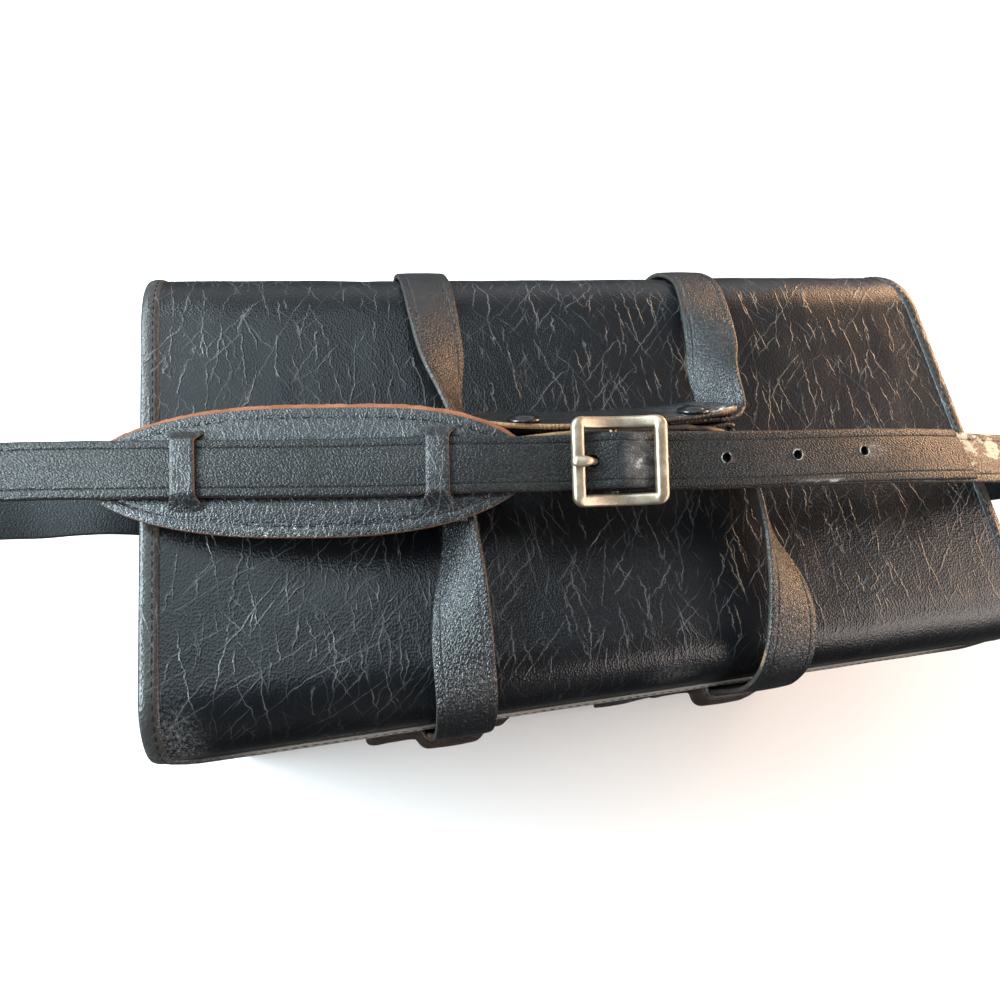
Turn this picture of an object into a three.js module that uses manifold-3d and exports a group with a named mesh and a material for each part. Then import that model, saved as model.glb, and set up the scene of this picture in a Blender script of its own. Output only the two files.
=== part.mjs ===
// Stiff black leather case with a rolled lid, a two-strap carry handle and a buckled shoulder strap.
// Millimetres, +Z up. The origin is the centre of the base's underside, X along the case, -Y to the front.
import * as THREE from "three";
import { mergeVertices } from "three/addons/utils/BufferGeometryUtils.js";
import Module from "manifold-3d";

const wasm = await Module();
wasm.setup();

// Driving dimensions of the case
const LENGTH = 327.4;
const DEPTH = 182;
const HEIGHT = 190;
const WALL = 2.4;
const GAP = 0.3;
const BASE_THICKNESS = 3;
const FRONT_ROLL = 19;
const BACK_ROLL = 33;
const LIP_DROP = 32.2;
const LIP_FLARE = 1.4;
const FLARE_HEIGHT = 7.8;
const LIP_CORNER = 12;
const LID_SAG = 3;
const END_INSET = 2.5;

// Driving dimensions of the straps and what is on them
const STRAP_WIDTH = 20;
const STRAP_THICKNESS = 2.2;
const BINDING_WIDTH = 4.8;
const BINDING_THICKNESS = 1;
const HANDLE_CENTRE_X = -6;
const GRIP_LENGTH = 99;
const GRIP_LEAN = THREE.MathUtils.degToRad(55);
const GRIP_BOW = 2;
const GRIP_WALL = 1.8;
const SNAP_RADIUS = 5.4;
const BUCKLE_LENGTH = 32.4;
const BUCKLE_WIDTH = 30;
const BUCKLE_BAR = 4.2;
const BUCKLE_THICKNESS = 3;
const PAD_THICKNESS = 2.6;
const PAD_WIDTH = 45;

const halfLength = LENGTH / 2;
const frontY = -DEPTH / 2;
const backY = DEPTH / 2;
const V = (x, y, z) => new THREE.Vector3(x, y, z);

const object = new THREE.Group();

function leather(color, roughness) {
  return new THREE.MeshStandardMaterial({ color, roughness, metalness: 0 });
}

function metal(color, roughness) {
  return new THREE.MeshStandardMaterial({ color, roughness, metalness: 1 });
}

const finishes = {
  panel: () => leather(0x1b1c1e, 0.45),
  strap: () => leather(0x202225, 0.4),
  pad: () => leather(0x23262a, 0.5),
  snap: () => metal(0x121212, 0.3),
  buckle: () => metal(0x9a9080, 0.35),
};

function addPiece(name, geometry, finish) {
  const mesh = new THREE.Mesh(geometry, finishes[finish]());
  mesh.name = name;
  object.add(mesh);
  return mesh;
}

// Closed meshes from grids and rings of points

// The faces are turned outwards, whichever way round the points were given
function closedGeometry(points, triangles) {
  const cone = ([a, b, c]) => points[a].dot(points[b].clone().cross(points[c]));
  const outward = triangles.reduce((sum, t) => sum + cone(t), 0) > 0;
  const faces = outward ? triangles : triangles.map(([a, b, c]) => [a, c, b]);
  const geometry = new THREE.BufferGeometry();
  geometry.setAttribute("position", new THREE.Float32BufferAttribute(points.flatMap((p) => p.toArray()), 3));
  geometry.setIndex(faces.flat());
  return geometry;
}

// A sheet between two grids of the same size: outer[row][column] and inner[row][column]
function sheetGeometry(outer, inner) {
  const rows = outer.length;
  const columns = outer[0].length;
  const points = [...outer.flat(), ...inner.flat()];
  const top = (r, c) => r * columns + c;
  const under = (r, c) => rows * columns + r * columns + c;
  const triangles = [];
  const quad = (a, b, c, d) => triangles.push([a, b, c], [a, c, d]);
  for (let r = 0; r + 1 < rows; r++) {
    for (let c = 0; c + 1 < columns; c++) {
      quad(top(r, c), top(r, c + 1), top(r + 1, c + 1), top(r + 1, c));
      quad(under(r, c), under(r + 1, c), under(r + 1, c + 1), under(r, c + 1));
    }
    quad(top(r, 0), top(r + 1, 0), under(r + 1, 0), under(r, 0));
    const last = columns - 1;
    quad(top(r + 1, last), top(r, last), under(r, last), under(r + 1, last));
  }
  for (let c = 0; c + 1 < columns; c++) {
    quad(top(0, c + 1), top(0, c), under(0, c), under(0, c + 1));
    quad(top(rows - 1, c), top(rows - 1, c + 1), under(rows - 1, c + 1), under(rows - 1, c));
  }
  return closedGeometry(points, triangles);
}

// A bar through rings of points, with flat ends unless it closes on itself
function sweepGeometry(rings, outline, closed = false) {
  const sides = outline.length;
  const points = rings.flat();
  const triangles = [];
  const spans = closed ? rings.length : rings.length - 1;
  for (let r = 0; r < spans; r++) {
    const next = (r + 1) % rings.length;
    for (let k = 0; k < sides; k++) {
      const m = (k + 1) % sides;
      triangles.push([r * sides + k, next * sides + m, r * sides + m]);
      triangles.push([r * sides + k, next * sides + k, next * sides + m]);
    }
  }
  if (!closed) {
    const end = (rings.length - 1) * sides;
    for (const [a, b, c] of THREE.ShapeUtils.triangulateShape(outline, [])) {
      triangles.push([a, b, c], [end + a, end + c, end + b]);
    }
  }
  return closedGeometry(points, triangles);
}

// Rings of one outline carried along stations that have a place, a width direction and a normal
function ringsAlong(stations, outline) {
  return stations.map(({ place, width, normal }) =>
    outline.map((p) => place.clone().addScaledVector(width, p.x).addScaledVector(normal, p.y)));
}

function box2(width, thickness) {
  const [w, t] = [width / 2, thickness / 2];
  return [[-w, -t], [w, -t], [w, t], [-w, t]].map(([x, y]) => new THREE.Vector2(x, y));
}

function circle2(radius, sides) {
  return Array.from({ length: sides }, (_, k) => {
    const angle = (2 * Math.PI * k) / sides;
    return new THREE.Vector2(radius * Math.cos(angle), radius * Math.sin(angle));
  });
}

// Boolean cuts and joins

function toSolid(geometry) {
  const bare = geometry.clone();
  bare.deleteAttribute("normal");
  bare.deleteAttribute("uv");
  const merged = mergeVertices(bare, 1e-4);
  const mesh = { numProp: 3, vertProperties: merged.attributes.position.array };
  mesh.triVerts = new Uint32Array(merged.index.array);
  return new wasm.Manifold(new wasm.Mesh(mesh));
}

function toGeometry(solid) {
  const mesh = solid.getMesh();
  const geometry = new THREE.BufferGeometry();
  geometry.setAttribute("position", new THREE.BufferAttribute(mesh.vertProperties, 3));
  geometry.setIndex(new THREE.BufferAttribute(mesh.triVerts, 1));
  return geometry;
}

const cut = (geometry, tools) => toGeometry(tools.reduce((s, t) => s.subtract(toSolid(t)), toSolid(geometry)));
const join = (geometry, others) => toGeometry(others.reduce((s, t) => s.add(toSolid(t)), toSolid(geometry)));

// Routes: rows of x, y, height above the lid plane, and a normal, made into a smooth run of stations

function route(rows, steps) {
  const places = new THREE.CatmullRomCurve3(rows.map((r) => V(r.x, r.y, HEIGHT + r.h)), false, "centripetal");
  const at = (t) => {
    const place = places.getPoint(t);
    const tangent = places.getTangent(t);
    const along = t * (rows.length - 1);
    const row = Math.min(Math.floor(along), rows.length - 2);
    const lean = V(...rows[row].n).normalize().lerp(V(...rows[row + 1].n).normalize(), along - row);
    const width = tangent.clone().cross(lean).normalize();
    const normal = width.clone().cross(tangent).normalize();
    return { place, tangent, width, normal };
  };
  const stations = [];
  for (let row = 0; row + 1 < rows.length; row++) {
    const count = rows[row].steps ?? steps;
    for (let k = 0; k < count; k++) stations.push(at((row + k / count) / (rows.length - 1)));
  }
  stations.push(at(1));
  return { at, stations };
}

function strapGeometry(stations) {
  return sweepGeometry(ringsAlong(stations, box2(STRAP_WIDTH, STRAP_THICKNESS)), box2(STRAP_WIDTH, STRAP_THICKNESS));
}

// The lid's profile: distance s along the sheet from the lip's edge gives y, height and the outward normal

const flareLength = Math.hypot(LIP_FLARE, FLARE_HEIGHT);
const lipLength = LIP_DROP - FLARE_HEIGHT - FRONT_ROLL;
const frontArc = (Math.PI / 2) * FRONT_ROLL;
const topLength = DEPTH - FRONT_ROLL - BACK_ROLL;
const backArc = (Math.PI / 2) * BACK_ROLL;
const backLength = HEIGHT - BACK_ROLL - BASE_THICKNESS - GAP;
const profileSpans = [flareLength, lipLength, frontArc, topLength, backArc, backLength];
const profileLength = profileSpans.reduce((sum, span) => sum + span, 0);

function profilePoint(s) {
  let rest = s;
  if (rest < flareLength) {
    const share = 1 - rest / flareLength;
    return [frontY - LIP_FLARE * share, -LIP_DROP + rest * (FLARE_HEIGHT / flareLength)];
  }
  rest -= flareLength;
  if (rest < lipLength) return [frontY, -FRONT_ROLL - lipLength + rest];
  rest -= lipLength;
  if (rest < frontArc) {
    const angle = rest / FRONT_ROLL;
    return [frontY + FRONT_ROLL * (1 - Math.cos(angle)), FRONT_ROLL * (Math.sin(angle) - 1)];
  }
  rest -= frontArc;
  if (rest < topLength) return [frontY + FRONT_ROLL + rest, 0];
  rest -= topLength;
  if (rest < backArc) {
    const angle = rest / BACK_ROLL;
    return [backY - BACK_ROLL * (1 - Math.sin(angle)), BACK_ROLL * (Math.cos(angle) - 1)];
  }
  rest -= backArc;
  return [backY, -BACK_ROLL - rest];
}

function profileAt(s) {
  const step = 0.5;
  const [y, h] = profilePoint(s);
  const [y0, h0] = profilePoint(Math.max(s - step, 0));
  const [y1, h1] = profilePoint(Math.min(s + step, profileLength));
  const along = V(0, y1 - y0, h1 - h0).normalize();
  return { y, h, along, normal: V(0, -along.z, along.y) };
}

// How far the lid's top has sunk between its stiff ends
function lidSag(x, y) {
  const middle = (FRONT_ROLL - BACK_ROLL) / 2;
  const across = Math.cos((Math.PI * (y - middle)) / (topLength * 1.3));
  return LID_SAG * Math.cos((Math.PI * x) / LENGTH) * Math.max(across, 0) ** 2;
}

// The lip's lower corners are cut round, so the sheet is shorter near its edge
function lidHalfLength(s) {
  if (s >= LIP_CORNER) return halfLength;
  return halfLength - LIP_CORNER + Math.sqrt(LIP_CORNER ** 2 - (LIP_CORNER - s) ** 2);
}

function lidStations() {
  const stations = [0, 0.7, 2.5, 5.2, 8.2, LIP_CORNER];
  let start = flareLength + lipLength;
  const addSpan = (length, count) => {
    for (let k = 1; k <= count; k++) stations.push(start + (length * k) / count);
    start += length;
  };
  stations.push(start);
  addSpan(frontArc, 6);
  addSpan(topLength, 7);
  addSpan(backArc, 7);
  addSpan(backLength, 2);
  return stations;
}

function lidPoint(x, s, depth) {
  const { y, h, normal } = profileAt(s);
  const sag = lidSag(x, y) * Math.max(normal.z, 0);
  return V(x, y, HEIGHT + h - sag).addScaledVector(normal, -depth);
}

const lidColumns = 13;
const lidGrid = (depth) => lidStations().map((s) =>
  Array.from({ length: lidColumns }, (_, c) => {
    const share = (2 * c) / (lidColumns - 1) - 1;
    return lidPoint(share * lidHalfLength(s), s, depth);
  }));
addPiece("lid_back_panel", sheetGeometry(lidGrid(0), lidGrid(WALL)), "panel");

// The walls under the lid

const frontPanelY = frontY + WALL + 0.8;
const endX = halfLength - END_INSET;
const frontPanelTop = HEIGHT - FRONT_ROLL - 1;

function plate(x0, x1, y0, y1, z0, z1) {
  const geometry = new THREE.BoxGeometry(x1 - x0, y1 - y0, z1 - z0);
  geometry.translate((x0 + x1) / 2, (y0 + y1) / 2, (z0 + z1) / 2);
  return geometry;
}

const wallFoot = BASE_THICKNESS + GAP;
addPiece("front_panel", plate(-endX, endX, frontPanelY, frontPanelY + WALL, wallFoot, frontPanelTop), "panel");

function basePanel() {
  const corner = 8;
  const shape = new THREE.Shape();
  const [x, y] = [halfLength, backY];
  shape.moveTo(-x + corner, -y);
  shape.lineTo(x - corner, -y);
  shape.absarc(x - corner, -y + corner, corner, -Math.PI / 2, 0);
  shape.absarc(x - corner, y - corner, corner, 0, Math.PI / 2);
  shape.absarc(-x + corner, y - corner, corner, Math.PI / 2, Math.PI);
  shape.absarc(-x + corner, -y + corner, corner, Math.PI, 1.5 * Math.PI);
  return new THREE.ExtrudeGeometry(shape, { depth: BASE_THICKNESS, bevelEnabled: false, curveSegments: 4 });
}
addPiece("base_panel", basePanel(), "panel");

function endPanel(side) {
  const inset = WALL + 2 * GAP;
  const front = frontPanelY + WALL + GAP;
  const [frontR, backR] = [FRONT_ROLL - inset, BACK_ROLL - inset];
  const top = HEIGHT - inset;
  const frontCentre = frontY + FRONT_ROLL;
  const start = Math.acos((frontCentre - front) / frontR);
  const shape = new THREE.Shape();
  shape.moveTo(front, wallFoot);
  shape.lineTo(backY - inset, wallFoot);
  shape.lineTo(backY - inset, HEIGHT - BACK_ROLL);
  shape.absarc(backY - BACK_ROLL, top - backR, backR, 0, Math.PI / 2);
  shape.absarc(frontCentre, top - frontR, frontR, Math.PI / 2, Math.PI - start);
  const geometry = new THREE.ExtrudeGeometry(shape, { depth: WALL, bevelEnabled: false, curveSegments: 8 });
  const axes = new THREE.Matrix4().makeBasis(V(0, 1, 0), V(0, 0, 1), V(1, 0, 0));
  geometry.applyMatrix4(axes);
  geometry.translate(side > 0 ? endX - WALL : -endX, 0, 0);
  return geometry;
}
const sides = [["left", -1], ["right", 1]];
for (const [name, side] of sides) addPiece(`end_panel_${name}`, endPanel(side), "panel");

// The binding: an angle-section strip that follows the sheet's edge, up one end, round the lip and up the other

function bindingStations() {
  const path = [];
  const corner = 5;
  for (const s of lidStations().filter((s) => s >= LIP_CORNER).reverse()) path.push([-halfLength, s, 1, 0]);
  for (let k = 1; k < corner; k++) {
    const angle = (Math.PI / 2) * (k / corner);
    const [c, d] = [Math.cos(angle), Math.sin(angle)];
    path.push([-halfLength + LIP_CORNER * (1 - c), LIP_CORNER * (1 - d), c, d]);
  }
  const lip = halfLength - LIP_CORNER;
  for (const share of [-1, -0.5, 0]) path.push([share * lip, 0, 0, 1]);
  const mirrored = path.slice(0, -1).reverse().map(([x, s, bx, bs]) => [-x, s, -bx, bs]);
  return [...path, ...mirrored].map(([x, s, bx, bs]) => {
    const { along, normal } = profileAt(s);
    const inward = V(bx, 0, 0).addScaledVector(along, bs);
    return { place: lidPoint(x, s, 0), width: inward, normal };
  });
}

const [bindIn, bindOut] = [GAP, GAP + BINDING_THICKNESS];
const bindingOutline = [
  [-bindOut, bindOut], [-bindOut, -WALL], [-bindIn, -WALL],
  [-bindIn, bindIn], [BINDING_WIDTH, bindIn], [BINDING_WIDTH, bindOut],
].map(([x, y]) => new THREE.Vector2(x, y));
addPiece("lid_binding", sweepGeometry(ringsAlong(bindingStations(), bindingOutline), bindingOutline), "panel");

// The handle straps: rows from a wall, over the roll and on edge into the grip.
// Each row has the strap's x at the left and right of the case, y, its two heights, and the right side's normal.

const gripUp = V(0, -Math.cos(GRIP_LEAN), Math.sin(GRIP_LEAN));
const gripOut = V(0, Math.sin(GRIP_LEAN), Math.cos(GRIP_LEAN));
const gripCentre = V(HANDLE_CENTRE_X, 4, HEIGHT + 10.6);
const strapLayer = STRAP_THICKNESS / 2 + GAP;
const footH = wallFoot + 5 - HEIGHT;
const wallStrap = STRAP_THICKNESS / 2 + GAP;

// The grip's middle line bows towards the front between its ends
function gripPlace(x) {
  const share = x / (GRIP_LENGTH / 2);
  return gripCentre.clone().add(V(x, -GRIP_BOW * (1 - share ** 2), 0));
}

function gripRow(x, layer) {
  const place = gripPlace(x).addScaledVector(gripOut, layer * strapLayer);
  const h = place.z - HEIGHT;
  const n = gripOut.toArray();
  return { xl: HANDLE_CENTRE_X - x, xr: HANDLE_CENTRE_X + x, y: place.y, hl: h, hr: h, n, steps: 2 };
}

// A row on the strap's way round the back roll, at an angle up from the back wall
function backRollRow(degrees) {
  const angle = THREE.MathUtils.degToRad(degrees);
  const radius = BACK_ROLL + wallStrap + 0.5;
  const n = [0, Math.cos(angle), Math.sin(angle)];
  const h = -BACK_ROLL + radius * n[2];
  return { xl: -61, xr: 57, y: backY - BACK_ROLL + radius * n[1], hl: h, hr: h, n };
}

const backWallY = backY + wallStrap;
const frontWallY = frontPanelY - wallStrap;
const backRows = [
  { xl: -61, xr: 57, y: backWallY, hl: footH, hr: footH, n: [0, 1, 0], steps: 2 },
  { xl: -61, xr: 57, y: backWallY, hl: -60, hr: -60, n: [0, 1, 0], steps: 2 },
  backRollRow(0),
  backRollRow(28),
  backRollRow(60),
  { xl: -61, xr: 53.6, y: 56, hl: 4.6, hr: 4.6, n: [-0.16, 0.1, 0.97] },
  { xl: -60.8, xr: 50.2, y: 38, hl: 7.8, hr: 7.6, n: [-0.4, 0.12, 0.9] },
  { xl: -60.8, xr: 46.6, y: 26, hl: 9.6, hr: 9.4, n: [-0.68, 0.15, 0.7] },
  { xl: -59.6, xr: 45.2, y: 15.2, hl: 10.6, hr: 10.6, n: [-0.86, 0.26, 0.42] },
  { xl: -57.2, xr: 44.4, y: 9, hl: 11, hr: 11, n: [-0.6, 0.64, 0.5] },
  gripRow(48.5, 1),
  gripRow(38, 1),
  gripRow(20, 1),
];
const frontRows = [
  { xl: -66.5, xr: 47, y: frontWallY, hl: footH, hr: footH, n: [0, -1, 0], steps: 2 },
  { xl: -66.5, xr: 47, y: frontWallY, hl: -104, hr: -104, n: [0, -1, 0], steps: 2 },
  { xl: -66.5, xr: 47, y: frontWallY - 0.2, hl: -84, hr: -84, n: [0, -1, 0.02] },
  { xl: -66.5, xr: 47, y: -93.4, hl: -66, hr: -66, n: [0, -1, 0.1] },
  { xl: -66.5, xr: 47, y: -95, hl: -50, hr: -50, n: [0, -1, 0.04] },
  { xl: -66.8, xr: 46.5, y: -95.8, hl: -28, hr: -28, n: [0, -1, 0.02] },
  { xl: -67, xr: 46.5, y: -96, hl: -9, hr: -7, n: [0, -0.95, 0.3] },
  { xl: -67, xr: 47, y: -88, hl: 2.4, hr: 7, n: [0, -0.6, 0.8] },
  { xl: -66.8, xr: 49.5, y: -74, hl: 6.4, hr: 12.4, n: [0.15, -0.1, 0.98] },
  { xl: -66, xr: 51, y: -60.5, hl: 7.8, hr: 13, n: [0.42, 0, 0.9] },
  { xl: -64.2, xr: 50.6, y: -45, hl: 8.4, hr: 11.4, n: [0.78, -0.05, 0.62] },
  { xl: -63, xr: 50, y: -31, hl: 8.1, hr: 9.4, n: [0.93, 0.02, 0.37] },
  { xl: -61.8, xr: 49.6, y: -15, hl: 8, hr: 8.4, n: [0.88, 0.24, 0.42] },
  { xl: -60.8, xr: 48.8, y: -4.4, hl: 8.6, hr: 8.6, n: [0.72, 0.46, 0.52] },
  { xl: -58.8, xr: 46.8, y: 1, hl: 9.2, hr: 9.2, n: [0.34, 0.74, 0.58] },
  gripRow(48.5, -1),
  gripRow(38, -1),
  gripRow(20, -1),
];

function handleRows(rows, layer) {
  const right = rows.map(({ xr, y, hr, n, steps }) => ({ x: xr, y, h: hr, n, steps }));
  const left = rows.map(({ xl, y, hl, n, steps }) => ({ x: xl, y, h: hl, n: [-n[0], n[1], n[2]], steps }));
  const { xl, y, hl, n, steps } = gripRow(0, layer);
  return [...left, { x: xl, y, h: hl, n, steps }, ...right.reverse()];
}
addPiece("handle_strap_back", strapGeometry(route(handleRows(backRows, 1), 3).stations), "strap");
addPiece("handle_strap_front", strapGeometry(route(handleRows(frontRows, -1), 3).stations), "strap");

// The grip's wrap: a folded sheet around both straps. Its raw edges close together in the middle.

const wrapInner = strapLayer + STRAP_THICKNESS / 2 + 1.6 * GAP;
const wrapFlare = 0.8;
const wrapReach = 16.2;
const wrapEndReach = 11.2;
const wrapShoulder = STRAP_WIDTH / 2 + 0.4;
const wrapFold = STRAP_WIDTH / 2 + 0.6;
const foldTrim = 0.17;
const lowerTrim = 0.09;

// A section across the wrap: the upper layer from its raw edge down, the fold, and the lower layer back up.
// Each point has its place up the wrap and out of it, and how much shorter the wrap is there.
function gripSection(reach, flare, offset) {
  const inner = wrapInner + flare + offset;
  const fold = 5;
  const points = [[reach, inner, 0], [wrapShoulder, inner, 0]];
  for (let k = 0; k <= fold; k++) {
    const angle = (Math.PI * k) / fold;
    points.push([-wrapFold - inner * 0.5 * Math.sin(angle), inner * Math.cos(angle), foldTrim]);
  }
  const closing = (reach - wrapShoulder) / (wrapReach - wrapShoulder);
  const lowerEdge = -inner + closing * (2 * wrapInner - GAP);
  points.push([wrapShoulder, -inner, lowerTrim], [reach, lowerEdge, lowerTrim]);
  return points;
}

function gripGrid(offset) {
  const columns = 12;
  return Array.from({ length: columns + 1 }, (_, c) => {
    const share = (2 * c) / columns - 1;
    const reach = wrapEndReach + (wrapReach - wrapEndReach) * (1 - Math.abs(share) ** 3);
    const flare = wrapFlare * Math.abs(share) ** 8;
    return gripSection(reach, flare, offset).map(([v, n, trim]) => {
      const middle = gripPlace((share * (1 - trim) * GRIP_LENGTH) / 2);
      return middle.addScaledVector(gripUp, v).addScaledVector(gripOut, n);
    });
  });
}
addPiece("handle_grip", sheetGeometry(gripGrid(GRIP_WALL), gripGrid(0)), "strap");

const snapSpacing = 64;
const snapReach = 10;
const snapLift = wrapInner + GRIP_WALL + 2 * GAP;

function snapCap() {
  const profile = [[0, 0], [SNAP_RADIUS, 0], [SNAP_RADIUS, 0.6], [SNAP_RADIUS * 0.72, 1.5], [0, 1.9]];
  const geometry = new THREE.LatheGeometry(profile.map(([x, y]) => new THREE.Vector2(x, y)), 16);
  geometry.applyMatrix4(new THREE.Matrix4().makeBasis(V(1, 0, 0), gripOut, gripUp));
  return geometry;
}
for (const [name, side] of sides) {
  const cap = addPiece(`grip_snap_${name}`, snapCap(), "snap");
  cap.position.copy(gripPlace((side * snapSpacing) / 2));
  cap.position.addScaledVector(gripUp, snapReach).addScaledVector(gripOut, snapLift);
}

// Keepers on the front wall: bands that bulge over the front handle strap just under the lip

const keeperThickness = 1.8;
const keeperHeight = 14;
const keeperZ = HEIGHT - 45;
const keeperBulgeY = -97.7;

function keeperGeometry(x) {
  const onWall = frontPanelY - GAP - keeperThickness / 2;
  const shoulder = [-12.2, keeperBulgeY + 2.2];
  const bulge = [[-14.2, onWall], shoulder, [-10.4, keeperBulgeY], [0, keeperBulgeY - 0.4]];
  const back = bulge.slice(0, -1).reverse().map(([dx, y]) => [-dx, y]);
  const rows = [[-31, onWall], ...bulge, ...back, [21, onWall]];
  const line = rows.map(([dx, y]) => V(x + dx, y, keeperZ));
  const stations = line.map((place, k) => {
    const before = line[Math.max(k - 1, 0)];
    const after = line[Math.min(k + 1, line.length - 1)];
    const tangent = after.clone().sub(before).normalize();
    return { place, width: V(0, 0, 1), normal: V(0, 0, 1).cross(tangent) };
  });
  const outline = box2(keeperHeight, keeperThickness);
  return sweepGeometry(ringsAlong(stations, outline), outline);
}
addPiece("keeper_left", keeperGeometry(frontRows[0].xl), "strap");
addPiece("keeper_right", keeperGeometry(frontRows[0].xr), "strap");

// The shoulder strap: the long half from the left end, over the pad and through the buckle to its free end

const up = [0, 0, 1];
const tabThickness = 2;
const sewnX = endX + tabThickness + 2 * GAP + STRAP_THICKNESS / 2;
const longRows = [
  { x: -sewnX, y: 3, h: -80, n: [-1, 0, 0], steps: 1 },
  { x: -sewnX, y: 3, h: -58, n: [-1, 0, 0] },
  { x: -171.5, y: 3, h: -47, n: [-0.7, 0, -0.7] },
  { x: -184, y: 3.5, h: -42, n: [-0.1, 0, -1], steps: 2 },
  { x: -215, y: 4.5, h: -42.5, n: [0.05, 0, -1], steps: 2 },
  { x: -240, y: 5, h: -37, n: [-0.45, 0, -0.9] },
  { x: -253, y: 5.5, h: -21.5, n: [-1, 0, 0] },
  { x: -243, y: 5.3, h: -6.5, n: [-0.55, 0, 0.85] },
  { x: -222, y: 4.8, h: -3.5, n: [-0.2, 0, 1], steps: 2 },
  { x: -205, y: 3.6, h: -1, n: [-0.15, 0, 1], steps: 3 },
  { x: -154, y: -3.2, h: 9, n: up, steps: 3 },
  { x: -100, y: -10, h: 17.2, n: [0, -0.05, 1], steps: 3 },
  { x: -60, y: -14.8, h: 24.7, n: [0, -0.14, 1], steps: 3 },
  { x: -30, y: -17.5, h: 27.4, n: [0, -0.28, 1], steps: 2 },
  { x: -10.6, y: -18.9, h: 30, n: [0, -0.36, 1], steps: 2 },
  { x: 10, y: -20.6, h: 31, n: [0, -0.36, 1], steps: 2 },
  { x: 36, y: -22.7, h: 32.8, n: [0, -0.3, 1], steps: 2 },
  { x: 70, y: -25.1, h: 33.8, n: [0, -0.2, 1], steps: 2 },
  { x: 100, y: -27, h: 33.4, n: [0, -0.1, 1], steps: 2 },
  { x: 127, y: -28.3, h: 31.6, n: [0, -0.05, 1] },
];
const buckleRow = 14;
const longRoute = route(longRows, 3);
const rowParameter = (row) => row / (longRows.length - 1);

// The station of the long strap at a given x, on its upper run
function strapAtX(x) {
  const upperStart = 9;
  let [low, high] = [rowParameter(upperStart), 1];
  for (let k = 0; k < 30; k++) {
    const middle = (low + high) / 2;
    if (longRoute.at(middle).place.x < x) low = middle;
    else high = middle;
  }
  return longRoute.at(low);
}

function punch(station, radius) {
  const tool = new THREE.CylinderGeometry(radius, radius, 4 * STRAP_THICKNESS, 10);
  const { place, width, normal } = station;
  const tangent = normal.clone().cross(width).negate();
  return tool.applyMatrix4(new THREE.Matrix4().makeBasis(width, normal, tangent).setPosition(place));
}

const prongHoleX = -17.4;
const prongHoleRadius = 3.2;
const holesX = [5, 28, 55, 82];
const holeRadius = 1.8;
const tipAngle = THREE.MathUtils.degToRad(14);
const tipTrim = 2.6;

// A block that cuts the strap's free end off at a slant
function tipCut() {
  const { place, width, tangent } = longRoute.at(1);
  const tool = new THREE.BoxGeometry(STRAP_WIDTH, 3 * STRAP_WIDTH, STRAP_WIDTH);
  tool.translate(STRAP_WIDTH / 2, 0, 0);
  tool.rotateZ(tipAngle);
  const side = width.clone().negate();
  const normal = tangent.clone().cross(side);
  const start = place.clone().addScaledVector(tangent, -tipTrim);
  return tool.applyMatrix4(new THREE.Matrix4().makeBasis(tangent, side, normal).setPosition(start));
}
const cutters = [...holesX.map((x) => punch(strapAtX(x), holeRadius)), punch(strapAtX(prongHoleX), prongHoleRadius)];
const longStrap = cut(strapGeometry(longRoute.stations), [...cutters, tipCut()]);
addPiece("shoulder_strap_long", longStrap, "strap");

// The buckle, in its own axes: x along the strap, y across it, z = 0 at the long strap's middle beside the bars

const buckleStation = longRoute.at(rowParameter(buckleRow));
const leftBarStation = strapAtX(buckleStation.place.x - BUCKLE_LENGTH / 2 + BUCKLE_BAR / 2);
const rightBarStation = strapAtX(buckleStation.place.x + BUCKLE_LENGTH / 2 - BUCKLE_BAR / 2);
const buckleAxisX = rightBarStation.place.clone().sub(leftBarStation.place).normalize();
const buckleAxisY = buckleStation.normal.clone().cross(buckleAxisX).normalize();
const buckleAxisZ = buckleAxisX.clone().cross(buckleAxisY);
const buckleOrigin = leftBarStation.place.clone().lerp(rightBarStation.place, 0.5);
const buckleMatrix = new THREE.Matrix4().makeBasis(buckleAxisX, buckleAxisY, buckleAxisZ).setPosition(buckleOrigin);
const hump = buckleStation.place.clone().sub(buckleOrigin).dot(buckleAxisZ);

const centreBarRadius = 1.25;
const centreBarZ = hump - STRAP_THICKNESS * 1.5 - 2 * GAP - centreBarRadius;
const sideBarZ = STRAP_THICKNESS / 2 + 2 * GAP + BUCKLE_THICKNESS / 2;
const frameSag = 3.4;

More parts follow.
